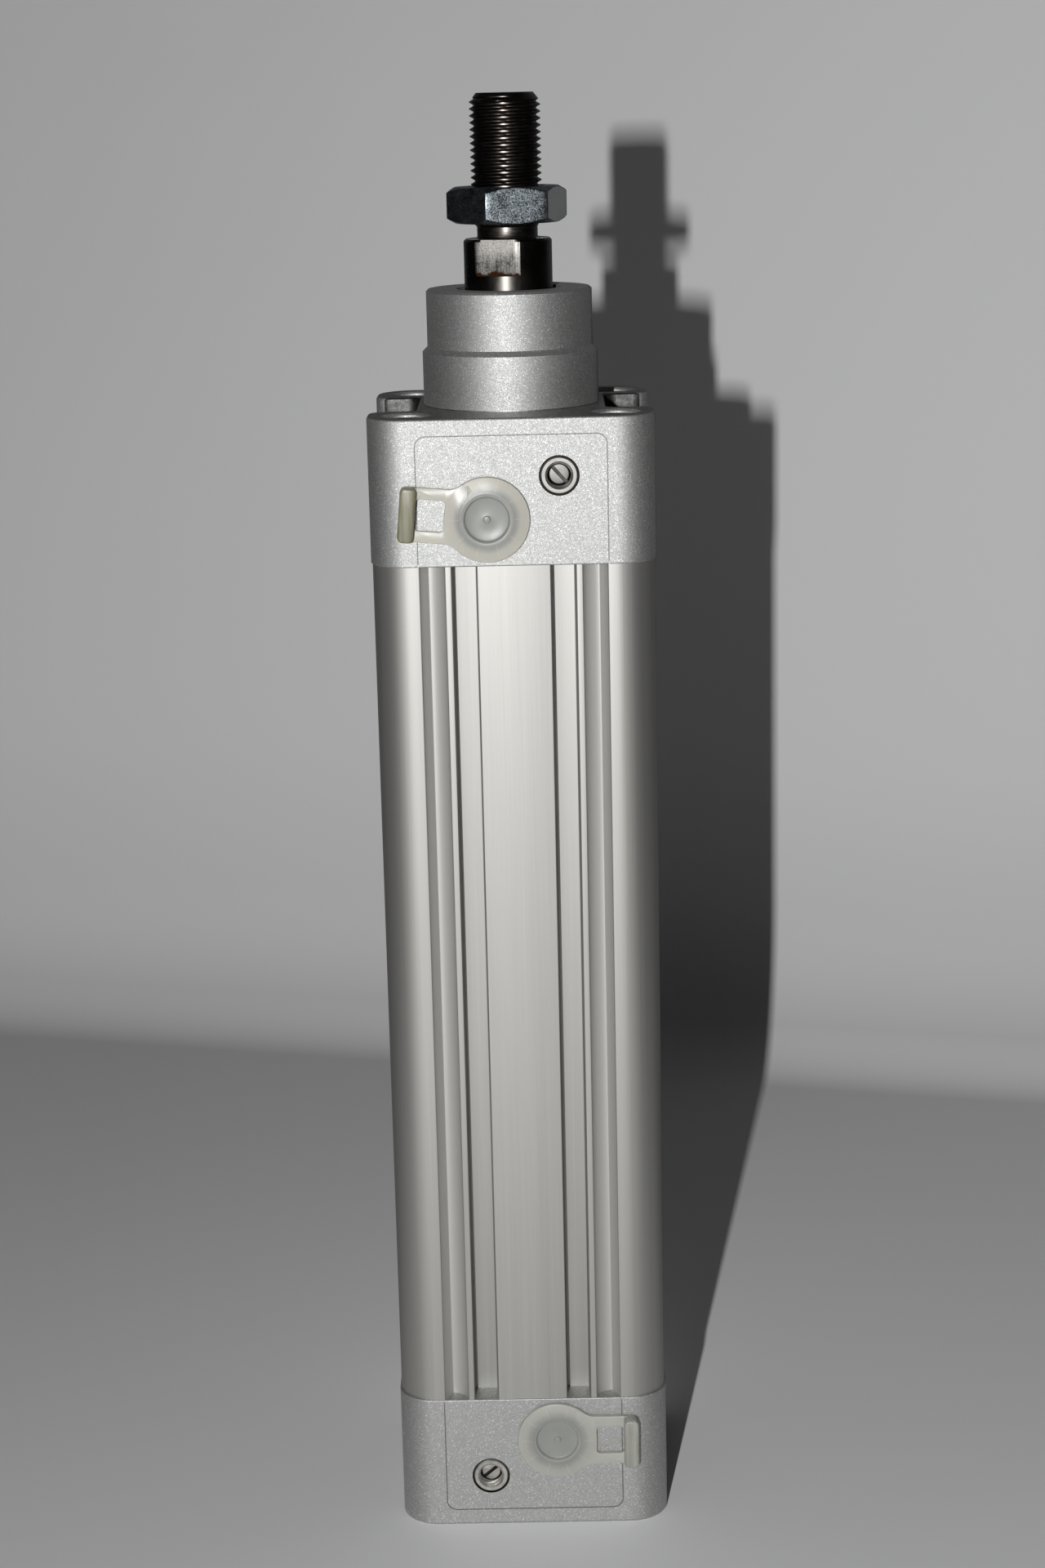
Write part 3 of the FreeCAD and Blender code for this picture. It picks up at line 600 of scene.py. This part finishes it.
# Materials
class Shader:
    """Small helper that adds nodes to one material."""

    SOCKETS = {
        "color": "Base Color",
        "metallic": "Metallic",
        "rough": "Roughness",
        "normal": "Normal",
        "spec": "Specular IOR Level",
        "ior": "IOR",
        "trans": "Transmission Weight",
        "sss": "Subsurface Weight",
        "sss_scale": "Subsurface Scale",
    }

    def __init__(self, name):
        self.mat = bpy.data.materials.new(name)
        self.mat.use_nodes = True
        self.tree = self.mat.node_tree
        self.bsdf = self.tree.nodes["Principled BSDF"]

    def node(self, kind, **values):
        n = self.tree.nodes.new(kind)
        for key, value in values.items():
            setattr(n, key, value)
        return n

    def wire(self, a, b):
        self.tree.links.new(a, b)

    def feed(self, socket, value):
        """Puts a number, a colour or another node's output into a socket."""
        if isinstance(value, (int, float)):
            socket.default_value = value
        elif isinstance(value, tuple):
            socket.default_value = (*value, 1)
        else:
            self.wire(value, socket)

    def coords(self, scale=(1, 1, 1), offset=(0, 0, 0)):
        at = self.node("ShaderNodeTexCoord")
        mapping = self.node("ShaderNodeMapping")
        mapping.inputs["Scale"].default_value = scale
        mapping.inputs["Location"].default_value = offset
        self.wire(at.outputs["Object"], mapping.inputs["Vector"])
        return mapping.outputs["Vector"]

    def position(self, offset=(0, 0, 0)):
        """X, Y and Z of the object's own coordinates, in metres."""
        n = self.node("ShaderNodeSeparateXYZ")
        self.wire(self.coords(offset=offset), n.inputs[0])
        return n.outputs

    def noise(self, vector, scale, detail=2.0, rough=0.5):
        n = self.node("ShaderNodeTexNoise")
        n.inputs["Scale"].default_value = scale
        n.inputs["Detail"].default_value = detail
        n.inputs["Roughness"].default_value = rough
        self.wire(vector, n.inputs["Vector"])
        return n.outputs["Fac"]

    def ramp(self, fac, stops):
        n = self.node("ShaderNodeValToRGB")
        while len(n.color_ramp.elements) < len(stops):
            n.color_ramp.elements.new(0.5)
        for element, (place, color) in zip(n.color_ramp.elements, stops):
            element.position = place
            element.color = (*color, 1)
        self.wire(fac, n.inputs["Fac"])
        return n.outputs["Color"]

    def remap(self, value, a, b, lo=0.0, hi=1.0):
        """Runs from a to b as the value runs from lo to hi."""
        n = self.node("ShaderNodeMapRange")
        n.inputs["From Min"].default_value = lo
        n.inputs["From Max"].default_value = hi
        n.inputs["To Min"].default_value = a
        n.inputs["To Max"].default_value = b
        self.wire(value, n.inputs["Value"])
        return n.outputs["Result"]

    def rising(self, value, lo, hi, top=1.0):
        """Zero below the first place in mm, and the top value past the second."""
        return self.remap(value, 0.0, top, lo * MM, hi * MM)

    def falling(self, value, lo, hi):
        """One below the first place in mm, and zero past the second."""
        return self.remap(value, 1.0, 0.0, lo * MM, hi * MM)

    def maths(self, operation, a, b=None):
        n = self.node("ShaderNodeMath", operation=operation)
        self.feed(n.inputs[0], a)
        if b is not None:
            self.feed(n.inputs[1], b)
        return n.outputs[0]

    def sum_of(self, *terms):
        """Adds outputs, each given as (output, weight)."""
        weighted = [self.maths("MULTIPLY", value, weight) for value, weight in terms]
        out = weighted[0]
        for value in weighted[1:]:
            out = self.maths("ADD", out, value)
        return out

    def both(self, *masks):
        out = masks[0]
        for mask in masks[1:]:
            out = self.maths("MULTIPLY", out, mask)
        return out

    def band(self, value, lo, hi):
        """One where the value lies between two places in mm, otherwise zero."""
        above = self.maths("GREATER_THAN", value, lo * MM)
        return self.both(above, self.maths("LESS_THAN", value, hi * MM))

    def mix(self, fac, a, b):
        n = self.node("ShaderNodeMix", data_type="RGBA")
        for socket, value in ((n.inputs[0], fac), (n.inputs[6], a), (n.inputs[7], b)):
            self.feed(socket, value)
        return n.outputs[2]

    def bump(self, height, strength, distance_mm):
        n = self.node("ShaderNodeBump")
        n.inputs["Strength"].default_value = strength
        n.inputs["Distance"].default_value = distance_mm * MM
        self.wire(height, n.inputs["Height"])
        return n.outputs["Normal"]

    def set(self, **values):
        for key, value in values.items():
            self.feed(self.bsdf.inputs[self.SOCKETS[key]], value)
        return self.mat


def around(s, x, z):
    """Distance from an axis along Y and the angle round it, with the offsets in X and Z."""
    dx, _, dz = s.position((-x * MM, 0, -z * MM))
    square = s.maths("ADD", s.maths("MULTIPLY", dx, dx), s.maths("MULTIPLY", dz, dz))
    return s.maths("SQRT", square), s.maths("ARCTAN2", dz, dx), dx, dz


def cut_masks(s, x, y, z):
    """Masks of the caps' machined faces, and of the notches alone, which get painted shade."""
    past_side = HALF + 8
    past_top = Z_TOP + 0.2
    notch_floor = 260.9
    notch_half = 14.8
    notch_in = 21.2
    across = s.maths("ABSOLUTE", x)
    along = s.maths("ABSOLUTE", y)
    top = s.both(s.band(z, Z_TOP - 0.07, past_top), s.band(across, -1, past_side))
    notch = s.both(
        s.band(z, notch_floor, past_top),
        s.band(along, -1, notch_half),
        s.band(across, notch_in, past_side),
    )
    return s.maths("MAXIMUM", top, notch), notch


def mark_masks(s, x, y, z):
    """Masks of what is sunk into the caps' front faces, and of the needle seats alone, for painted shade.
    """
    rear_lines = (3.9, 32.0)
    front_lines = (234.0, 262.4)
    lines_half = 21.4
    seat_r = 5.0
    heights = s.maths("MAXIMUM", s.band(z, *rear_lines), s.band(z, *front_lines))
    depth = s.band(y, -HALF + 0.03, -HALF + 0.7)
    engraved_shade = s.both(depth, s.band(s.maths("ABSOLUTE", x), -1, lines_half), heights)
    to_needle = s.maths("MINIMUM", around(s, *FRONT_NEEDLE)[0], around(s, *REAR_NEEDLE)[0])
    return engraved_shade, s.both(engraved_shade, s.maths("LESS_THAN", to_needle, seat_r * MM))


def cap_paint():
    """Flake paint, with machined top faces and notches; the notches, engraved lines and needle seats are
    painted dark as painted shade.
    """
    s = Shader("cap_paint_look")
    at = s.coords()
    cells = s.node("ShaderNodeTexVoronoi")
    cells.inputs["Scale"].default_value = 6000
    s.wire(at, cells.inputs["Vector"])
    flake = s.node("ShaderNodeSeparateColor")
    s.wire(cells.outputs["Color"], flake.inputs["Color"])
    grain = s.noise(at, 5200, 1.0)
    cloudy = s.noise(at, 60, 3.0)
    flakes = s.ramp(flake.outputs["Red"], [
        (0.0, (0.37, 0.375, 0.37)),
        (0.8, (0.48, 0.485, 0.475)),
        (0.93, (0.55, 0.55, 0.54)),
        (1.0, (0.85, 0.85, 0.84)),
    ])
    color = s.mix(s.remap(cloudy, 0.0, 0.12, 0.35, 0.7), flakes, (0.458, 0.458, 0.45))

    x, y, z = s.position()
    machined, notch = cut_masks(s, x, y, z)
    smear = s.noise(s.coords((1, 0.2, 1)), 900, 3.0, 0.6)
    bare = s.ramp(smear, [(0.35, (0.24, 0.24, 0.235)), (0.7, (0.36, 0.36, 0.35))])
    color = s.mix(machined, color, bare)
    # The notches are painted near-black: painted shade.
    notch_shade = s.ramp(smear, [(0.35, (0.055, 0.055, 0.054)), (0.7, (0.12, 0.12, 0.118))])
    color = s.mix(notch, color, notch_shade)

    # Engraved lines and needle seats are painted dark: painted shade in the shallow groove and in the gap
    # round each bush.
    engraved_shade, seat_shade = mark_masks(s, x, y, z)
    color = s.mix(engraved_shade, color, (0.22, 0.218, 0.21))
    color = s.mix(seat_shade, color, (0.02, 0.018, 0.016))

    rough = s.remap(flake.outputs["Green"], 0.54, 0.68)
    rough = s.maths("SUBTRACT", rough, s.maths("MULTIPLY", machined, 0.16))
    height = s.sum_of((flake.outputs["Blue"], 0.7), (grain, 1.0))
    return s.set(color=color, metallic=0.93, rough=rough, spec=0.2, normal=s.bump(height, 0.32, 0.05))


def anodised():
    """Anodised extrusion with drawn lines along Z; the rounded grooves are plainer and painted paler, as
    painted light.
    """
    s = Shader("barrel_anodised_look")
    lines_at = s.coords((1, 1, 0.004))
    fine = s.noise(lines_at, 4200, 2.0, 0.6)
    broad = s.noise(lines_at, 420, 3.0, 0.55)
    cloudy = s.noise(s.coords((1, 1, 0.25)), 45, 4.0)
    tone = s.sum_of((fine, 0.45), (broad, 0.55))
    color = s.ramp(tone, [(0.3, (0.37, 0.366, 0.348)), (0.7, (0.442, 0.437, 0.418))])
    color = s.mix(s.remap(cloudy, 0.0, 0.25, 0.4, 0.75), color, (0.393, 0.388, 0.37))
    x, y, _ = s.position()
    across = s.maths("ABSOLUTE", x)
    along = s.maths("ABSOLUTE", y)
    # The rounded grooves are painted paler: painted light.
    groove_painted_light = s.both(
        s.band(s.maths("MINIMUM", across, along), GROOVE_FOOT - GROOVE_R - 0.1, GROOVE_OUT - 0.1),
        s.band(s.maths("MAXIMUM", across, along), BORE_R, BARREL_HALF - 0.15),
    )
    color = s.mix(groove_painted_light, color, (0.45, 0.444, 0.424))
    rough = s.remap(broad, 0.49, 0.55, 0.3, 0.7)
    grain = s.noise(s.coords((1, 1, 0.4)), 5200, 1.0)
    normal = s.bump(s.sum_of((fine, 1.0), (grain, 0.35)), 0.25, 0.03)
    return s.set(color=color, metallic=s.remap(groove_painted_light, 0.86, 0.5), rough=rough, spec=0.2, normal=normal)


def chrome():
    """Hard chrome; the end that stays outside the cap is painted near-black, a painted reflection of a dark
    room with a little oil.
    """
    s = Shader("rod_chrome_look")
    rings = s.noise(s.coords((0.02, 0.02, 1)), 4000, 2.0)
    smear = s.noise(s.coords((1, 1, 0.6)), 260, 4.0, 0.6)
    # The end outside the cap is painted near-black: a painted reflection of a dark room, with a little oil.
    oil_and_dark_reflection = s.ramp(smear, [(0.3, (0.045, 0.0405, 0.036)), (0.7, (0.076, 0.071, 0.065))])
    clean = s.ramp(smear, [(0.3, (0.30, 0.295, 0.285)), (0.7, (0.38, 0.375, 0.365))])
    color = s.mix(s.falling(s.position()[2], 280, 290), oil_and_dark_reflection, clean)
    rough = s.remap(smear, 0.25, 0.34, 0.35, 0.7)
    return s.set(color=color, metallic=1.0, rough=rough, normal=s.bump(rings, 0.08, 0.02))


def thread_steel():
    """Dark rolled thread with fine scores along its turns."""
    s = Shader("rod_thread_look")
    scores = s.noise(s.coords((0.05, 0.05, 1)), 5200, 3.0, 0.6)
    patches = s.noise(s.coords((1, 1, 2)), 500, 3.0)
    color = s.ramp(patches, [(0.35, (0.07, 0.0615, 0.056)), (0.7, (0.135, 0.12, 0.111))])
    rough = s.remap(scores, 0.24, 0.4, 0.3, 0.7)
    return s.set(color=color, metallic=1.0, rough=rough, normal=s.bump(scores, 0.3, 0.02))


def milled():
    """Cut steel of the wrench flats, painted paler at the top as a painted highlight, with oil along their
    lower edges.
    """
    s = Shader("rod_milled_look")
    streaks = s.noise(s.coords((1, 1, 0.06)), 2600, 3.0, 0.6)
    blotch = s.noise(s.coords(), 420, 4.0, 0.6)
    specks = s.noise(s.coords(), 3800, 2.0)
    tone = s.sum_of((streaks, 0.4), (blotch, 0.35), (specks, 0.25))
    height_at = s.position()[2]
    color = s.ramp(tone, [(0.4, (0.05, 0.048, 0.044)), (0.56, (0.22, 0.213, 0.2))])
    # The top of each flat is painted paler: a painted highlight.
    painted_highlight_from = Z_SHOULDER - 3.8
    painted_highlight = s.rising(s.sum_of((blotch, 3 * MM), (height_at, 1.0)), painted_highlight_from, painted_highlight_from + 3.6, 0.75)
    color = s.mix(painted_highlight, color, (0.50, 0.48, 0.455))
    oil_top = Z_SHOULDER - 5.6
    oil_and_dark_reflection = s.falling(s.sum_of((blotch, 4 * MM), (height_at, 1.0)), oil_top, oil_top + 0.5)
    color = s.mix(oil_and_dark_reflection, color, (0.032, 0.014, 0.005))
    rough = s.remap(specks, 0.3, 0.46, 0.3, 0.7)
    normal = s.bump(s.sum_of((streaks, 1.0), (specks, 0.6)), 0.35, 0.02)
    return s.set(color=color, metallic=1.0, rough=rough, normal=normal)


def zinc(name, dark, light, rough_a, rough_b, grain_scale, strength):
    """Zinc plating: grains over larger blotches."""
    s = Shader(name)
    at = s.coords()
    blotch = s.noise(at, 350, 4.0, 0.6)
    grain = s.noise(at, grain_scale, 2.0)
    color = s.ramp(s.sum_of((blotch, 0.45), (grain, 0.55)), [(0.38, dark), (0.62, light)])
    rough = s.remap(grain, rough_a, rough_b, 0.3, 0.7)
    return s.set(color=color, metallic=1.0, rough=rough, normal=s.bump(grain, strength, 0.04))


def turned_steel(name, x, z, light, rough_a, rough_b):
    """Steel with fine rings round the needle's axis, painted dark deeper than the needle's top as painted
    shade in the hole.
    """
    ring_pitch = 0.22
    s = Shader(name)
    radius = around(s, x, z)[0]
    # Deeper than the needle's top the steel is painted near-black: painted shade.
    painted_shade_below = s.band(s.position()[1], -HALF - NEEDLE_TOP + 0.15, -10)
    rings = s.maths("SINE", s.maths("MULTIPLY", radius, FULL / (ring_pitch * MM)))
    blotch = s.noise(s.coords(), 500, 4.0)
    dark = tuple(0.72 * t for t in light)
    color = s.mix(painted_shade_below, s.ramp(blotch, [(0.35, dark), (0.7, light)]), (0.06, 0.057, 0.053))
    rough = s.remap(blotch, rough_a, rough_b, 0.3, 0.7)
    return s.set(color=color, metallic=1.0, rough=rough, normal=s.bump(rings, 0.12, 0.01))


def plug_plastic(name, x, z, turn_deg, flange, bar_tones):
    """Milky plastic, painted greyer over the port as painted shade of the dark port behind it, with a thin
    painted highlight round the dish's rim, faint ribs on the flange and a streaked pull bar.
    """
    rib_count = 10
    tones_end = 20
    s = Shader(name)
    at = s.coords()
    cloudy = s.noise(at, 220, 3.0)
    radius, angle, dx, dz = around(s, x, z)
    turn = math.radians(turn_deg)
    reach = s.sum_of((dx, math.cos(turn)), (dz, -math.sin(turn)))
    # Greyer out to about 7.6 mm and darkest from 5.5 to 6.6 mm: painted shade of the port behind the
    # plastic; the pale ring at 5.2 mm is a painted highlight on the dish's rim.
    color = s.ramp(s.rising(radius, 0, tones_end), [
        (0.0, (0.395, 0.412, 0.386)),
        (0.24, (0.415, 0.43, 0.40)),
        (0.26, (0.58, 0.585, 0.56)),
        (0.275, (0.36, 0.37, 0.35)),
        (0.33, (0.44, 0.443, 0.412)),
        (0.38, tuple(0.92 * t for t in flange)),
        (0.5, flange),
    ])
    spokes = s.maths("ABSOLUTE", s.maths("SINE", s.maths("MULTIPLY", angle, rib_count / 2)))
    ribs = s.both(s.maths("LESS_THAN", spokes, 0.055), s.band(radius, 6.2, 8.6))
    color = s.mix(s.maths("MULTIPLY", ribs, 0.45), color, (0.80, 0.79, 0.74))
    streaks = s.noise(s.coords((1, 1, 0.08)), 1400, 2.0)
    bar = s.maths("GREATER_THAN", reach, (BAR_IN - 0.05) * MM)
    color = s.mix(bar, color, s.ramp(streaks, [(0.35, bar_tones[0]), (0.65, bar_tones[1])]))
    color = s.mix(s.remap(cloudy, 0.0, 0.12, 0.35, 0.7), color, (0.75, 0.74, 0.70))
    fine = s.noise(at, 1500, 2.0)
    return s.set(
        color=color, rough=s.remap(cloudy, 0.30, 0.42, 0.3, 0.7), trans=0.4, ior=1.45,
        sss=0.2, sss_scale=0.0015, normal=s.bump(s.sum_of((fine, 1.0), (ribs, 2.0)), 0.08, 0.04),
    )


def plain(name, dark, light, metallic, rough_a, rough_b, scale):
    """Even material with one fine grain, for the wiper and the pieces inside the cylinder."""
    s = Shader(name)
    fine = s.noise(s.coords(), scale, 3.0)
    color = s.ramp(fine, [(0.3, dark), (0.7, light)])
    rough = s.remap(fine, rough_a, rough_b, 0.3, 0.7)
    return s.set(color=color, metallic=metallic, rough=rough, normal=s.bump(fine, 0.1, 0.05))


looks = {
    "cap_paint": cap_paint(),
    "barrel_anodised": anodised(),
    "rod_chrome": chrome(),
    "milled": milled(),
    "thread_steel": thread_steel(),
    "nut_zinc": zinc("nut_zinc_look", (0.05, 0.062, 0.075), (0.36, 0.40, 0.42), 0.26, 0.44, 3400, 0.5),
    # The nut's one pale facet is a lit copy of its zinc: painted light.
    "nut_side": zinc("nut_side_look", (0.78, 0.80, 0.80), (0.90, 0.92, 0.92), 0.3, 0.4, 2600, 0.05),
    "zinc_screw": zinc("screw_zinc_look", (0.42, 0.43, 0.44), (0.6, 0.61, 0.62), 0.25, 0.4, 2600, 0.2),
    "seal_rubber": plain("seal_look", (0.02, 0.02, 0.02), (0.035, 0.035, 0.035), 0.0, 0.45, 0.6, 900),
    "wiper_rubber": plain("wiper_look", (0.02, 0.02, 0.022), (0.04, 0.04, 0.042), 0.0, 0.4, 0.55, 900),
    "bush_bronze": plain("bronze_look", (0.42, 0.28, 0.13), (0.56, 0.4, 0.2), 1.0, 0.35, 0.5, 1500),
    "guide_plastic": plain("guide_look", (0.06, 0.055, 0.05), (0.1, 0.09, 0.08), 0.0, 0.45, 0.6, 1200),
    "piston_aluminium": plain("piston_look", (0.62, 0.62, 0.61), (0.72, 0.72, 0.71), 1.0, 0.28, 0.4, 1800),
    "magnet": plain("magnet_look", (0.06, 0.06, 0.065), (0.1, 0.1, 0.1), 0.6, 0.5, 0.65, 1500),
    "front_plug": plug_plastic(
        "front_plug_look", *FRONT_PORT, FRONT_PLUG_DEG,
        (0.72, 0.70, 0.62), ((0.24, 0.232, 0.13), (0.40, 0.39, 0.28)),
    ),
    "rear_plug": plug_plastic(
        "rear_plug_look", *REAR_PORT, REAR_PLUG_DEG,
        (0.60, 0.605, 0.55), ((0.40, 0.40, 0.345), (0.54, 0.54, 0.50)),
    ),
    # The rear bush and needle are the same steel as the front ones, painted lighter: painted light.
    "front_bush": turned_steel("front_bush_look", *FRONT_NEEDLE, (0.42, 0.41, 0.39), 0.5, 0.66),
    "rear_bush": turned_steel("rear_bush_look", *REAR_NEEDLE, (0.60, 0.58, 0.54), 0.42, 0.58),
    "front_needle": turned_steel("front_needle_look", *FRONT_NEEDLE, (0.27, 0.262, 0.25), 0.46, 0.6),
    "rear_needle": turned_steel("rear_needle_look", *REAR_NEEDLE, (0.72, 0.70, 0.66), 0.36, 0.5),
}
# Slots of the record whose look differs between the front and the rear end; for the bushes and needles the
# difference is painted light
END_LOOKS = {"bush_steel": "_bush", "needle_steel": "_needle", "plug_plastic": "_plug"}
slot_of = {s["node"]: s["material_slot"] for s in frame["record"]["subparts"]}


def look_of(node):
    slot = slot_of[node]
    if slot in END_LOOKS:
        return node.split("_")[0] + END_LOOKS[slot]
    return slot


def dress(obj, look):
    obj.data.materials.clear()
    obj.data.materials.append(looks[look])


def dress_side(obj, look, chosen):
    """Gives one more material to the faces for which chosen(face) is true."""
    obj.data.materials.append(looks[look])
    index = len(obj.data.materials) - 1
    for face in obj.data.polygons:
        if chosen(face):
            face.material_index = index


def stands_for(obj, node, body):
    dress(obj, look_of(node))
    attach(obj, body)
    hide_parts(node)
    return obj


def direction(angle):
    return Vector((math.cos(angle), math.sin(angle), 0))


def on_flat(face):
    z = face.center.z / MM
    return Z_SHOULDER - FLATS_L < z < Z_SHOULDER and abs(face.normal.dot(direction(FLATS_TURN))) > 0.999


def past_shoulder(face):
    return face.center.z / MM > Z_SHOULDER


# The facet that gets the paler zinc, as painted light.
def on_painted_lit_facet(face):
    return face.normal.dot(direction(NUT_SIDE_TURN)) > 0.995


# Pieces
for node_name, node_object in nodes.items():
    dress(node_object, look_of(node_name))
stands_for(make_barrel(), "barrel", "housing")
rod = stands_for(make_rod(), "piston_rod", "rod_assembly")
dress_side(rod, "milled", on_flat)
dress_side(rod, "thread_steel", past_shoulder)
nut = stands_for(make_nut(), "rod_nut", "nut")
dress_side(nut, "nut_side", on_painted_lit_facet)
for side, sx in (("left", -1), ("right", 1)):
    for depth, sy in (("back", 1), ("front", -1)):
        place = side + "_" + depth
        for end, z_head, toward in (("rear", SCREW_SUNK, 1), ("front", Z_TOP - SCREW_SUNK, -1)):
            screw = make_screw(end + "_tapped_screw_" + place, sx * SCREW_AT, sy * SCREW_AT, z_head, toward)
            stands_for(screw, end + "_screw_" + place, "housing")
for label, seat_at, slot_deg in (("front", FRONT_NEEDLE, -48), ("rear", REAR_NEEDLE, 40)):
    stands_for(make_bush(label, *seat_at), label + "_needle_bush", "housing")
    stands_for(make_needle(label, *seat_at, slot_deg), label + "_cushion_needle", label + "_needle")
for label, port, turn_deg in (("front", FRONT_PORT, FRONT_PLUG_DEG), ("rear", REAR_PORT, REAR_PLUG_DEG)):
    plug = make_plug(label + "_plug_with_tab", *port, turn_deg)
    stands_for(plug, label + "_port_plug", label + "_plug")


# Floor and backdrop: one sheet that curves up behind the object
def backdrop_look():
    """Pale sheet, toned for the camera with painted light, and darker for reflections of what lies aside
    and behind, as painted shade.
    """
    s = Shader("backdrop_look")
    path = s.node("ShaderNodeLightPath")
    seen = path.outputs["Is Camera Ray"]
    cloudy = s.noise(s.coords(), 6, 3.0)
    x, y, z = s.position()
    # Lighter to the right and towards the foot of the wall, darker in the curve, and lighter on the floor
    # to the right: painted light for the camera.
    to_right = s.rising(x, -150, 200)
    upper = s.ramp(cloudy, [(0.3, (0.59, 0.59, 0.595)), (0.7, (0.63, 0.63, 0.635))])
    upper = s.mix(to_right, upper, (0.69, 0.69, 0.698))
    lower = s.mix(to_right, (0.73, 0.73, 0.732), (0.77, 0.77, 0.778))
    floor_tone = s.mix(to_right, (0.81, 0.81, 0.815), (0.97, 0.97, 0.98))
    painted_light_tone = s.mix(s.falling(z, 120, 420), upper, lower)
    painted_light_tone = s.mix(s.falling(z, 20, 100), painted_light_tone, (0.675, 0.675, 0.68))
    painted_light_tone = s.mix(s.falling(z, 0, 12), painted_light_tone, floor_tone)

    # For reflections and bounced light the sheet is painted darker aside, behind and near the key: painted
    # shade.
    aside = s.rising(s.maths("ABSOLUTE", x), 200, 360)
    behind = s.rising(y, -30, 100, 0.8)
    mirrored = s.mix(s.maths("MAXIMUM", aside, behind), painted_light_tone, (0.05, 0.05, 0.051))
    near_key = s.falling(y, -850, -250)
    shown = s.mix(near_key, painted_light_tone, (0.13, 0.13, 0.131))
    s.set(color=s.mix(seen, mirrored, shown), rough=0.9, spec=0.1)

    # Clear for the camera from behind the sheet, and past the key light
    clear = s.node("ShaderNodeBsdfTransparent")
    cover = s.node("ShaderNodeMixShader")
    facing = s.node("ShaderNodeNewGeometry")
    past_key = s.maths("LESS_THAN", y, -950 * MM)
    hidden = s.maths("MAXIMUM", facing.outputs["Backfacing"], past_key)
    s.wire(s.both(seen, hidden), cover.inputs[0])
    s.wire(s.bsdf.outputs[0], cover.inputs[1])
    s.wire(clear.outputs[0], cover.inputs[2])
    s.wire(cover.outputs[0], s.tree.nodes["Material Output"].inputs[0])
    return s.mat


def make_backdrop():
    half_width = 1600
    front_end = -1500.0
    wall_y = 330.0
    wall_top = 900.0
    wall_turn = math.radians(-14.2)
    curve_r = 50.0
    curve_steps = 12
    profile = [(front_end, 0.0), (-400.0, 0.0), (wall_y - curve_r, 0.0)]
    for i in range(1, curve_steps + 1):
        a = math.radians(90 * i / curve_steps)
        profile.append((wall_y - curve_r + curve_r * math.sin(a), curve_r - curve_r * math.cos(a)))
    profile.append((wall_y, wall_top))
    bm = bmesh.new()
    left = [bm.verts.new((-half_width, y, z)) for y, z in profile]
    right = [bm.verts.new((half_width, y, z)) for y, z in profile]
    for i in range(len(profile) - 1):
        bm.faces.new((left[i], right[i], right[i + 1], left[i + 1]))
    bmesh.ops.rotate(bm, matrix=Matrix.Rotation(wall_turn, 3, "Z"), verts=bm.verts)
    sheet = to_object("backdrop", bm, 60)
    sheet.data.flip_normals()
    sheet.data.materials.append(backdrop_look())
    return sheet


backdrop = make_backdrop()


def make_camera():
    """Camera solved from the cap, collar and barrel edges in the photograph."""
    place = (6.69, -643.64, 334.88)
    yaw = -0.00954
    pitch = 0.24241
    roll = -0.02293
    forward = Vector((math.sin(yaw) * math.cos(pitch), math.cos(yaw) * math.cos(pitch), -math.sin(pitch)))
    right = Vector((math.cos(yaw), -math.sin(yaw), 0))
    up = right.cross(forward)
    x_axis = math.cos(roll) * right + math.sin(roll) * up
    y_axis = -math.sin(roll) * right + math.cos(roll) * up
    data = bpy.data.cameras.new("camera")
    data.sensor_width = 36
    data.sensor_fit = "AUTO"
    data.lens = 64.21
    data.clip_start = 0.01
    data.clip_end = 10
    cam = link("camera", data)
    turn = Matrix((x_axis, y_axis, -forward)).transposed().to_4x4()
    cam.matrix_world = Matrix.Translation(Vector(place) * MM) @ turn
    bpy.context.scene.camera = cam


def area_light(name, place, target, size, power):
    data = bpy.data.lights.new(name, "AREA")
    data.shape = "RECTANGLE"
    data.size = size[0] * MM
    data.size_y = size[1] * MM
    data.energy = power
    obj = link(name, data)
    obj.location = Vector(place) * MM
    way = Vector(target) - Vector(place)
    obj.rotation_euler = way.to_track_quat("-Z", "Y").to_euler()
    return obj


def make_lamps():
    """A small, hard key lamp in front, and one behind that lights the pieces but not the backdrop."""
    area_light("key", place=(-128, -1013, 380), target=(0, 0, 190), size=(10, 32), power=9.2)
    back_fill = area_light("back_fill", place=(0, 300, 130), target=(0, 0, 130), size=(56, 200), power=0.6)
    back_fill.visible_camera = False
    lit_from_behind = bpy.data.collections.new("lit_from_behind")
    for piece in bpy.context.scene.objects:
        if piece.type == "MESH" and piece is not backdrop:
            lit_from_behind.objects.link(piece)
    back_fill.light_linking.receiver_collection = lit_from_behind


def make_world():
    """Dim room light, with a grey background for the camera."""
    world = bpy.data.worlds.new("studio")
    world.use_nodes = True
    tree = world.node_tree
    path = tree.nodes.new("ShaderNodeLightPath")
    sky = tree.nodes.new("ShaderNodeMix")
    sky.data_type = "RGBA"
    sky.inputs[6].default_value = (0.014, 0.014, 0.0147, 1)
    sky.inputs[7].default_value = (0.33, 0.33, 0.335, 1)
    tree.links.new(path.outputs["Is Camera Ray"], sky.inputs[0])
    tree.links.new(sky.outputs[2], tree.nodes["Background"].inputs[0])
    bpy.context.scene.world = world


make_camera()
make_lamps()
make_world()
bpy.context.scene.view_settings.view_transform = "Standard"
